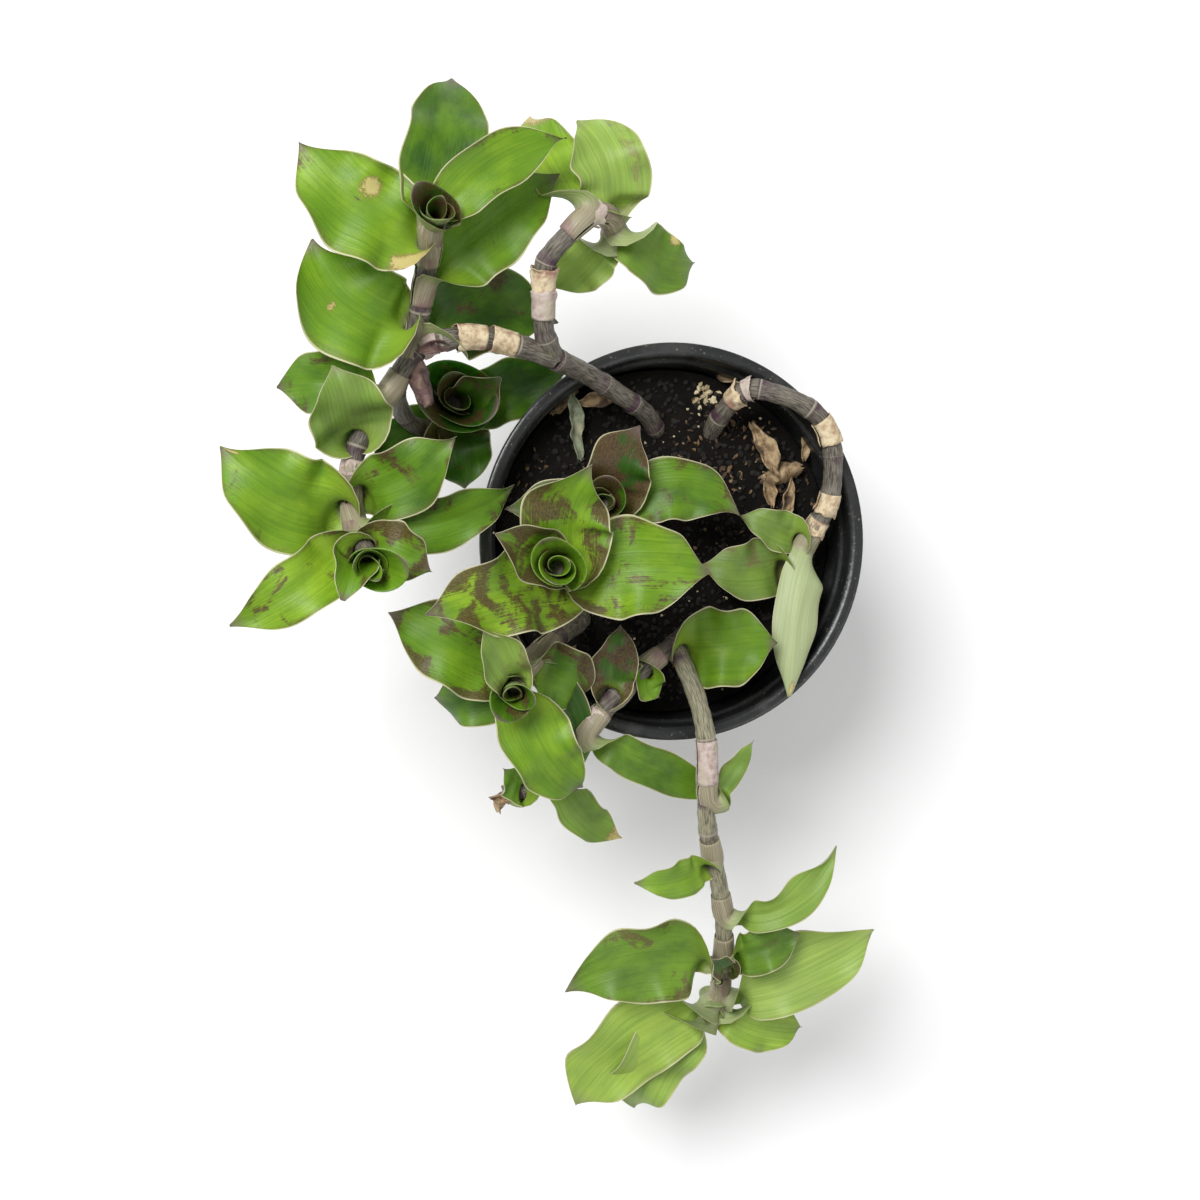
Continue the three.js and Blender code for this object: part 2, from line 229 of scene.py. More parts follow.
collar_foot = pot_height - collar_height
neck = rim_radius - lip_width + pot_wall
under_neck = neck - 2 * MM
inner = neck - pot_wall
pot = turned("nursery_pot", rounded([
    (0, 0.0),
    (26 * MM, 0.0),
    (27 * MM, 0.4 * MM),
    (37 * MM, 0.4 * MM),
    (38 * MM, 0.0),
    (pot_base_radius - 1.5 * MM, 0.0),
    (pot_base_radius, 1.5 * MM),
    (under_neck, collar_foot - 2 * MM),
    (neck, collar_foot),
    (neck, collar_foot + 4 * MM),
    (neck - 0.3 * MM, collar_foot + 4.4 * MM),
    (neck - 0.1 * MM, pot_height - 2.2 * MM),
    (rim_radius - 0.9 * MM, pot_height - 2.4 * MM),
    (rim_radius, pot_height - 1.4 * MM),
    (rim_radius - 0.2 * MM, pot_height - 0.3 * MM),
    (rim_radius - 1.2 * MM, pot_height),
    (inner + 1.4 * MM, pot_height - 0.2 * MM),
    (inner + 0.2 * MM, pot_height - 1.2 * MM),
    (inner, pot_height - 5.4 * MM),
    (inner - 1.4 * MM, pot_height - 6.6 * MM),
    (inner - 1.7 * MM, collar_foot),
    (under_neck - pot_wall, collar_foot - 3 * MM),
    (pot_base_radius - pot_wall, pot_wall),
    (0, pot_wall),
]))

holes = bmesh.new()
for i in range(8):
    angle = 2 * math.pi * i / 8
    place = Matrix.Translation((32 * MM * math.cos(angle), 32 * MM * math.sin(angle), 0))
    bmesh.ops.create_cone(
        holes, cap_ends=True, segments=32, radius1=4.5 * MM, radius2=4.5 * MM, depth=6 * MM, matrix=place)
hole_mesh = bpy.data.meshes.new("drain_holes")
holes.to_mesh(hole_mesh)
holes.free()
hole_cutter = bpy.data.objects.new("drain_holes", hole_mesh)
bpy.context.collection.objects.link(hole_cutter)
cut = pot.modifiers.new("drain_holes", "BOOLEAN")
cut.object = hole_cutter
cut.operation = "DIFFERENCE"


def settled(obj):
    """The same object with its modifiers worked into its mesh."""
    shape = bpy.data.meshes.new_from_object(obj.evaluated_get(bpy.context.evaluated_depsgraph_get()))
    obj.modifiers.clear()
    obj.data = shape
    return obj


settled(pot)
bpy.data.objects.remove(hole_cutter)
pot.data.shade_smooth()
pot.data.set_sharp_from_angle(angle=math.radians(40))

pot_finish, tree, shader = new_finish("dusty_black_plastic", 0.42)
spot = add(tree, "ShaderNodeTexCoord").outputs["Object"]
dust = sums(tree, "MULTIPLY", between(tree, grain(tree, spot, 60, 6), 0.48, 0.75), 0.6)
specks = between(tree, grain(tree, spot, 1100, 2, 0.5), 0.66, 0.74)
rubbed = between(tree, grain(tree, stretched(tree, spot, (1, 1, 12)), 220, 4), 0.5, 0.8, 0.0, 0.35)
black = mixed(tree, dust, (0.011, 0.012, 0.012, 1), (0.05, 0.05, 0.047, 1))
black = mixed(tree, rubbed, black, (0.04, 0.042, 0.043, 1))
black = mixed(tree, sums(tree, "MULTIPLY", specks, 0.6), black, (0.22, 0.2, 0.17, 1))
tree.links.new(black, shader.inputs["Base Color"])
tree.links.new(between(tree, dust, 0.0, 0.6, 0.34, 0.6), shader.inputs["Roughness"])
roughened(tree, shader, grain(tree, spot, 500, 4), 0.25, 0.0006)
pot.data.materials.append(pot_finish)
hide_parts("pot")
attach(pot, "root")

# ---- The potting mix ----
# Dark peat and fine bark, pressed down by watering, with a rough crumbly surface 14 mm below the rim.

soil_low, soil_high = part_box("soil")
soil_floor = soil_low[2]
soil_top = soil_high[2] - 2 * MM
soil_radius = under_neck - pot_wall - 0.9 * MM
dome = 1.6 * MM


def soil_height(x, y):
    """The height of the potting mix at a place."""
    share = 1 - (x * x + y * y) / soil_radius ** 2
    lumps = noise.fractal(Vector((x * 70, y * 70, 0)), 1.0, 2.0, 4)
    crumbs = noise.noise(Vector((x * 330, y * 330, 5)))
    return soil_top + dome * share + (0.9 * lumps + 0.45 * crumbs) * MM


rings = 56
steps = 168
soil_mesh = bmesh.new()
rows = []
for i in range(rings + 1):
    radius = soil_radius * (i / rings) ** 0.8
    if i == 0:
        rows.append([soil_mesh.verts.new((0, 0, soil_height(0, 0)))] * steps)
        continue
    row = []
    for k in range(steps):
        x = radius * math.cos(2 * math.pi * k / steps)
        y = radius * math.sin(2 * math.pi * k / steps)
        row.append(soil_mesh.verts.new((x, y, soil_height(x, y))))
    rows.append(row)
for height, radius in ((collar_foot - 5 * MM, soil_radius), (soil_floor, pot_base_radius - 3 * MM)):
    rows.append([
        soil_mesh.verts.new((radius * math.cos(a), radius * math.sin(a), height))
        for a in (2 * math.pi * k / steps for k in range(steps))
    ])
for low, high in zip(rows, rows[1:]):
    for k in range(steps):
        j = (k + 1) % steps
        corners = list(dict.fromkeys([low[k], high[k], high[j], low[j]]))
        soil_mesh.faces.new(corners)
soil_mesh.faces.new(reversed(rows[-1]))
bmesh.ops.recalc_face_normals(soil_mesh, faces=soil_mesh.faces)
soil_data = bpy.data.meshes.new("potting_mix")
soil_mesh.to_mesh(soil_data)
soil_mesh.free()
soil_data.shade_smooth()
soil = bpy.data.objects.new("potting_mix", soil_data)
bpy.context.collection.objects.link(soil)

soil_finish, tree, shader = new_finish("potting_mix", 0.95)
spot = add(tree, "ShaderNodeTexCoord").outputs["Object"]
crumb = grain(tree, spot, 420, 6, 0.7)
fibre = grain(tree, spot, 150, 5, 0.6)
earth = mixed(tree, between(tree, fibre, 0.35, 0.7), (0.0022, 0.0019, 0.0015, 1), (0.007, 0.005, 0.003, 1))
earth = mixed(tree, between(tree, crumb, 0.66, 0.8), earth, (0.03, 0.021, 0.012, 1))
tree.links.new(earth, shader.inputs["Base Color"])
shader.inputs["Specular IOR Level"].default_value = 0.2
roughened(tree, shader, crumb, 0.9, 0.0015)
soil.data.materials.append(soil_finish)
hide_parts("soil")
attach(soil, "root")

# ---- Grit, bark and perlite in the mix ----
# Loose grains that lie on the soil: dark crumbs everywhere, brown bark chips, and cream perlite that
# has floated up in patches, mostly at the back where the mix is bare.


def geometry_tree(name, inputs):
    """A geometry tree with a mesh in and out and named inputs, their identifiers and their sockets."""
    made = bpy.data.node_groups.new(name, "GeometryNodeTree")
    made.interface.new_socket("Geometry", in_out="INPUT", socket_type="NodeSocketGeometry")
    made.interface.new_socket("Geometry", in_out="OUTPUT", socket_type="NodeSocketGeometry")
    keys = {}
    for label, kind in inputs.items():
        keys[label] = made.interface.new_socket(label, in_out="INPUT", socket_type=kind).identifier
    return made, keys, made.nodes.new("NodeGroupInput").outputs


def ended(tree, geometry, finish):
    """The end of a geometry tree: its instances made real, given their finish and sent out."""
    real = add(tree, "GeometryNodeRealizeInstances", {"Geometry": geometry})
    coated = add(tree, "GeometryNodeSetMaterial", {"Geometry": real.outputs[0], "Material": finish})
    tree.links.new(coated.outputs[0], tree.nodes.new("NodeGroupOutput").inputs[0])


def grown(obj, group, keys, values):
    """An object after a geometry tree with these inputs, as a plain mesh of its own."""
    step = obj.modifiers.new(group.name, "NODES")
    step.node_group = group
    for label, value in values.items():
        step[keys[label]] = value
    return settled(obj)


scatter, scatter_keys, given = geometry_tree("scattered_grains", {
    "Grain": "NodeSocketObject",
    "Density": "NodeSocketFloat",
    "Patchiness": "NodeSocketFloat",
    "Smallest": "NodeSocketFloat",
    "Largest": "NodeSocketFloat",
    "Flatness": "NodeSocketFloat",
    "Seed": "NodeSocketInt",
    "Finish": "NodeSocketMaterial",
})
patch = add(scatter, "ShaderNodeTexNoise", {"Scale": 55.0, "Detail": 2.0}, noise_dimensions="4D")
scatter.links.new(sums(scatter, "MULTIPLY", given["Seed"], 7.3), patch.inputs["W"])
crowded = add(scatter, "ShaderNodeMapRange", {
    "Value": patch.outputs[0], "From Min": given["Patchiness"],
    "From Max": sums(scatter, "ADD", given["Patchiness"], 0.08)}).outputs[0]
spread = add(scatter, "GeometryNodeDistributePointsOnFaces", {
    "Mesh": given["Geometry"], "Density": sums(scatter, "MULTIPLY", crowded, given["Density"]),
    "Seed": given["Seed"]})
grain_shape = add(scatter, "GeometryNodeObjectInfo", {"Object": given["Grain"]})
spin = add(scatter, "FunctionNodeRandomValue", {1: (6.28, 6.28, 6.28)}, data_type="FLOAT_VECTOR")
scatter.links.new(given["Seed"], spin.inputs["Seed"])
size = add(scatter, "FunctionNodeRandomValue", {
    2: given["Smallest"], 3: given["Largest"], "Seed": given["Seed"]}).outputs[1]
size_vector = add(scatter, "ShaderNodeCombineXYZ", {
    0: size, 1: size, 2: sums(scatter, "MULTIPLY", size, given["Flatness"])})
laid = add(scatter, "GeometryNodeInstanceOnPoints", {
    "Points": spread.outputs["Points"], "Instance": grain_shape.outputs["Geometry"],
    "Rotation": spin.outputs[0], "Scale": size_vector.outputs[0]})
ended(scatter, laid.outputs[0], given["Finish"])


def grain_lump(name, seed, rough, subdivisions=1):
    """A small uneven stone, about 1 m across, to be scaled where it is laid."""
    mesh = bmesh.new()
    bmesh.ops.create_icosphere(mesh, subdivisions=subdivisions, radius=0.5)
    for vert in mesh.verts:
        vert.co *= 1 + rough * noise.noise(vert.co * 2.3 + Vector((seed, seed, 0)))
    data = bpy.data.meshes.new(name)
    mesh.to_mesh(data)
    mesh.free()
    return bpy.data.objects.new(name, data)


def soil_patch(name, centre, radius):
    """A round patch of the soil's surface to lay grains on."""
    mesh = bmesh.new()
    count = max(6, int(radius / (2.5 * MM)))
    grid = {}
    for i in range(-count, count + 1):
        for k in range(-count, count + 1):
            x = centre[0] + radius * i / count
            y = centre[1] + radius * k / count
            if math.hypot(i, k) <= count and math.hypot(x, y) < soil_radius - 1.2 * MM:
                grid[i, k] = mesh.verts.new((x, y, soil_height(x, y) + 0.1 * MM))
    for (i, k), corner in grid.items():
        around = [grid.get((i + 1, k)), grid.get((i + 1, k + 1)), grid.get((i, k + 1))]
        if all(around):
            mesh.faces.new([corner, *around])
    data = bpy.data.meshes.new(name)
    mesh.to_mesh(data)
    mesh.free()
    made = bpy.data.objects.new(name, data)
    bpy.context.collection.objects.link(made)
    return made


def mineral(name, pale, dark, roughness):
    """A rough stony finish between two tones."""
    made, tree, shader = new_finish(name, roughness)
    spot = add(tree, "ShaderNodeTexCoord").outputs["Object"]
    tone = mixed(tree, between(tree, grain(tree, spot, 260, 4), 0.35, 0.65), dark, pale)
    tree.links.new(tone, shader.inputs["Base Color"])
    roughened(tree, shader, grain(tree, spot, 1600, 4), 0.6, 0.0004)
    return made


crumb_finish = mineral("peat_crumbs", (0.011, 0.008, 0.005, 1), (0.003, 0.0025, 0.002, 1), 0.95)
bark_finish = mineral("bark_chips", (0.2, 0.12, 0.055, 1), (0.045, 0.026, 0.013, 1), 0.85)
perlite_finish = mineral("perlite", (0.6, 0.52, 0.34, 1), (0.3, 0.23, 0.12, 1), 0.85)

# name, slot, finish, seed, patch centre and radius in mm, density per m2, patchiness, sizes in mm, flatness
loose = [
    ("peat_crumbs", "soil", crumb_finish, 3, (0, 0), 52, 180000, 0.2, (0.8, 2.6), 0.7),
    ("bark_chips", "litter", bark_finish, 5, (0, 0), 52, 60000, 0.5, (0.7, 2.4), 0.35),
    ("bark_chips_right", "litter", bark_finish, 8, (27, 26), 22, 90000, 0.42, (0.9, 3.0), 0.35),
    ("perlite_grains", "perlite", perlite_finish, 4, (11, 48), 9, 300000, 0.4, (1.0, 2.8), 0.7),
    ("perlite_by_stem", "perlite", perlite_finish, 9, (11, 35), 5, 260000, 0.4, (1.0, 2.6), 0.7),
    ("perlite_specks", "perlite", perlite_finish, 6, (0, 0), 52, 26000, 0.5, (0.4, 1.2), 0.8),
]
for name, slot, finish, seed, centre, reach, density, patchy, sizes, flat in loose:
    lump = grain_lump(name + "_shape", seed, 0.7)
    ground = soil_patch(name, (centre[0] * MM, centre[1] * MM), reach * MM)
    grains = grown(ground, scatter, scatter_keys, {
        "Grain": lump, "Density": float(density), "Patchiness": patchy, "Smallest": sizes[0] * MM,
        "Largest": sizes[1] * MM, "Flatness": flat, "Seed": seed, "Finish": finish})
    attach(grains, "root")

# ---- The stems ----
# Six fleshy jointed stems rise from the soil, sprawl over the rim and lift again at their tips. They
# are grey-brown and finely grooved, with a pale ring and a purple band at each joint, where an old
# leaf was. The two that reach over the rim carry branches.

# stem: each branch's radii at its two ends, its joints (counted in its points) and its points, in mm
stems = {
    "left_stem": {
        "trunk": ((2.8, 3.1), (1.3, 2.5, 3.5, 4.9), [
            (4, 31, 76), (-2, 34, 88), (-8, 39, 97), (-18, 44, 105), (-29, 49, 112), (-41, 53, 121)]),
        "upper": ((2.9, 2.6), (0.7, 2.1, 3.0, 5.0, 6.6, 7.4), [
            (-41, 53, 121), (-45, 60, 126), (-46, 68, 130), (-46, 78, 133), (-42, 84, 137),
            (-36, 90, 138), (-30, 92, 135), (-26, 90, 129), (-24, 87, 122)]),
        "outer": ((3.1, 2.8), (1.0, 2.0, 3.1, 4.2, 6.1, 8.0, 9.2, 9.8, 10.6, 11.0), [
            (-41, 53, 121), (-52, 56, 124), (-63, 58, 126), (-73, 57, 127), (-80, 55, 125),
            (-84, 50, 124), (-88, 43, 122), (-93, 36, 121), (-97, 28, 120), (-99, 19, 120),
            (-99, 11, 121), (-98, 3, 127), (-96, -3, 136)]),
        "rear": ((2.8, 2.7), (0.7, 1.5, 2.3, 3.3, 3.8), [
            (-83, 52, 124), (-81, 60, 126), (-80, 69, 130), (-79, 79, 137), (-80, 86, 146)]),
        "hook": ((2.7, 2.6), (1.0, 2.2, 3.4, 4.4, 5.2), [
            (-83, 51, 124), (-85, 45, 112), (-82, 39, 97), (-76, 35, 84), (-68, 35, 78),
            (-65, 39, 82), (-65, 42, 90)]),
    },
    "centre_stem": {
        "centre": ((3.0, 3.0), (1.0, 1.6, 2.1, 2.6), [
            (-12, -17, 76), (-20, -15, 98), (-34, -11, 126), (-45, -7, 147)]),
    },
    "back_stem": {
        "back": ((2.7, 2.7), (1.2, 2.1, 2.7), [(-7, 2, 76), (-12, 5, 90), (-18, 9, 102), (-24, 12, 113)]),
    },
    "front_left_stem": {
        "front_left": ((2.8, 2.8), (1.2, 2.0, 2.8, 3.5, 4.4), [
            (-22, -22, 76), (-28, -24, 95), (-37, -27, 110), (-46, -32, 119), (-52, -37, 125),
            (-55, -41, 131)]),
    },
    "front_stem": {
        "front": ((2.8, 3.1), (1.2, 2.0, 3.9, 5.2, 6.2, 7.2, 8.4), [
            (16, -22, 76), (8, -26, 94), (-1, -31, 104), (-12, -38, 108), (-21, -46, 111),
            (-28, -53, 112), (-33, -60, 109), (-37, -67, 104), (-42, -72, 99), (-52, -76, 97)]),
        "trailing": ((2.8, 2.6), (0.3, 2.9, 4.4, 5.4, 6.2, 7.8, 9.0, 10.2, 10.8), [
            (-1, -31, 104), (2, -39, 109), (5, -49, 112), (7, -59, 112), (8, -71, 110),
            (9, -83, 106), (12, -94, 101), (16, -106, 96), (19, -118, 91), (21, -130, 85),
            (22, -142, 79), (22, -152, 73)]),
    },
    "right_stem": {
        "right": ((2.8, 2.9), (1.2, 2.4, 3.4, 5.4, 7.2, 8.6, 9.8, 10.9), [
            (15, 27, 76), (15, 36, 94), (18, 43, 103), (22, 46, 107), (28, 45, 109),
            (36, 42, 111), (43, 37, 111), (47, 29, 110), (48, 19, 108), (47, 11, 106),
            (44, 4, 103), (41, -2, 101), (38, -7, 98)]),
    },
}


class Line:
    """A smooth line through points, measured along its length. Lengths are in metres."""

    def __init__(self, points, radii, joints):
        p = np.array(points, float) * MM
        p = np.vstack([2 * p[0] - p[1], p, 2 * p[-1] - p[-2]])
        self.stations = np.linspace(0, len(points) - 1, 24 * (len(points) - 1) + 1)
        i = np.minimum(self.stations.astype(int), len(points) - 2)
        t = (self.stations - i)[:, None]
        a, b, c, d = p[i], p[i + 1], p[i + 2], p[i + 3]
        lean = (c - a) / 2
        on = (d - b) / 2
        self.places = (
            b + lean * t + (3 * (c - b) - 2 * lean - on) * t ** 2 + (2 * (b - c) + lean + on) * t ** 3)
        steps = np.linalg.norm(np.diff(self.places, axis=0), axis=1)
        self.lengths = np.concatenate([[0], np.cumsum(steps)])
        self.slopes = np.gradient(self.places, axis=0)
        self.slopes /= np.linalg.norm(self.slopes, axis=1)[:, None]
        self.radii = radii
        self.joints = sorted(self.length(j) for j in joints)

    def length(self, station):
        return float(np.interp(station, self.stations, self.lengths))

    def place(self, length):
        return np.array([np.interp(length, self.lengths, self.places[:, k]) for k in range(3)])

    def slope(self, length):
        return unit(np.array([np.interp(length, self.lengths, self.slopes[:, k]) for k in range(3)]))

    def radius(self, length):
        return np.interp(length, [0, self.lengths[-1]], np.array(self.radii) * MM)


def unit(v):
    return v / np.linalg.norm(v, axis=-1, keepdims=True)


def named(tree, label, kind="FLOAT"):
    """A named attribute of the mesh inside a geometry tree."""
    made = add(tree, "GeometryNodeInputNamedAttribute", {"Name": label}, data_type=kind)
    return made.outputs["Attribute"]


lines = {}
for parts in stems.values():
    for name, (radii, joints, points) in parts.items():
        lines[name] = Line(points, radii, joints)

jointed, jointed_keys, given = geometry_tree("jointed_stem", {
    "Sides": "NodeSocketInt",
    "Unevenness": "NodeSocketFloat",
    "Finish": "NodeSocketMaterial",
})
path = add(jointed, "GeometryNodeMeshToCurve", {"Mesh": given["Geometry"]})
round_section = add(jointed, "GeometryNodeCurvePrimitiveCircle", {
    "Resolution": given["Sides"], "Radius": 1.0})
marked = add(jointed, "GeometryNodeStoreNamedAttribute", {
    "Geometry": round_section.outputs[0], "Name": "around",
    "Value": add(jointed, "GeometryNodeSplineParameter").outputs["Factor"],
}, data_type="FLOAT", domain="POINT")
skinned = add(jointed, "GeometryNodeCurveToMesh", {
    "Curve": path.outputs[0], "Profile Curve": marked.outputs[0], "Scale": named(jointed, "thick"),
    "Fill Caps": True})
waver = add(jointed, "ShaderNodeTexNoise", {"Scale": 380.0, "Detail": 2.0})
amount = sums(jointed, "MULTIPLY", sums(jointed, "SUBTRACT", waver.outputs[0], 0.5), given["Unevenness"])
outwards = add(jointed, "GeometryNodeInputNormal")
shift = add(jointed, "ShaderNodeVectorMath", {0: outwards.outputs[0], "Scale": amount}, operation="SCALE")
uneven = add(jointed, "GeometryNodeSetPosition", {"Geometry": skinned.outputs[0], "Offset": shift.outputs[0]})
smooth_shaded = add(jointed, "GeometryNodeSetShadeSmooth", {"Geometry": uneven.outputs[0]})
ended(jointed, smooth_shaded.outputs[0], given["Finish"])


def wire(name, strands):
    """Open lines as one mesh of edges. Each strand is its places and a dict of numbers along them."""
    places = np.vstack([p for p, _ in strands])
    edges = []
    start = 0
    for p, _ in strands:
        edges += [(start + i, start + i + 1) for i in range(len(p) - 1)]
        start += len(p)
    data = bpy.data.meshes.new(name)
    data.from_pydata(places.tolist(), edges, [])
    for label in strands[0][1]:
        numbers = np.concatenate([np.broadcast_to(v[label], len(p)) for p, v in strands])
        layer = data.attributes.new(label, "FLOAT", "POINT")
        layer.data.foreach_set("value", numbers.astype(np.float32))
    made = bpy.data.objects.new(name, data)
    bpy.context.collection.objects.link(made)
    return made


def stem_strand(line, pale):
    """A branch as a strand: thicker at its joints, with the distance from the joint below in mm."""
    steps = np.arange(0, line.lengths[-1], 0.7 * MM)
    places = np.array([line.place(x) for x in steps])
    joints = np.array([-10 * MM, *line.joints])
    after = np.array([min(x - j for j in joints if j <= x + 1e-9) for x in steps]) / MM
    nearest = np.array([min(abs(x - j) for j in line.joints) for x in steps]) / MM
    swelling = 0.13 * np.exp(-(nearest / 1.7) ** 2)
    crease = 0.07 * np.exp(-(nearest / 0.35) ** 2)
    thick = line.radius(steps) * (1 + swelling - crease)
    return places, {"thick": thick, "after": after, "pale": pale, "run": steps / MM}


def attribute(tree, label, output="Fac"):
    """A named attribute of the mesh inside a material."""
    return add(tree, "ShaderNodeAttribute", attribute_name=label, attribute_type="GEOMETRY").outputs[output]


stem_finish, tree, shader = new_finish("jointed_stem", 0.5)
around = attribute(tree, "around")
run = attribute(tree, "run")
after = attribute(tree, "after")
spot = add(tree, "ShaderNodeTexCoord").outputs["Object"]
turn_angle = sums(tree, "MULTIPLY", around, 2 * math.pi)
groove_place = add(tree, "ShaderNodeCombineXYZ", {
    0: sums(tree, "MULTIPLY", sums(tree, "COSINE", turn_angle), 3.4),
    1: sums(tree, "MULTIPLY", sums(tree, "SINE", turn_angle), 3.4),
    2: sums(tree, "MULTIPLY", run, 0.13)}).outputs[0]
grooves = grain(tree, groove_place, 2.4, 5, 0.62)
mottle = grain(tree, spot, 160, 4)
grey = mixed(tree, between(tree, grooves, 0.36, 0.62), (0.035, 0.028, 0.024, 1), (0.165, 0.143, 0.118, 1))
grey = mixed(tree, between(tree, mottle, 0.55, 0.75, 0.0, 0.6), grey, (0.13, 0.13, 0.07, 1))
olive = mixed(tree, between(tree, grooves, 0.34, 0.6), (0.12, 0.11, 0.06, 1), (0.36, 0.34, 0.22, 1))
bark = mixed(tree, attribute(tree, "pale"), grey, olive)
purple_zone = sums(tree, "MULTIPLY", between(tree, after, 0.6, 1.2), between(tree, after, 2.2, 5.0, 1.0, 0.0))
purple_zone = sums(tree, "MULTIPLY", purple_zone, between(tree, mottle, 0.35, 0.6, 0.1, 0.9))
bark = mixed(tree, purple_zone, bark, (0.05, 0.014, 0.034, 1))
ring = between(tree, after, 0.5, 1.0, 1.0, 0.0)
bark = mixed(tree, sums(tree, "MULTIPLY", ring, 0.8), bark, (0.33, 0.29, 0.23, 1))
tree.links.new(bark, shader.inputs["Base Color"])
roughened(tree, shader, grooves, 0.7, 0.0007)

for node, parts in stems.items():
    strands = []
    for name in parts:
        pale = {"trailing": 0.75, "centre": 0.4, "front_left": 0.3, "back": 0.3}.get(name, 0.08)
        strands.append(stem_strand(lines[name], pale))
    stem = grown(wire(node + "_fine", strands), jointed, jointed_keys, {
        "Sides": 28, "Unevenness": 0.7 * MM, "Finish": stem_finish})
    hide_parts(node)
    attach(stem, "root")

# ---- The leaves ----
# Each leaf is one thin fleshy piece: a sheath that wraps the stem, then a wavy blade that spreads,
# folds a little along its midrib and ends in a point. They are lime to dark green above with brown
# blotches and a thin pale edge, and paler below. Leaves that have turned over show that side.

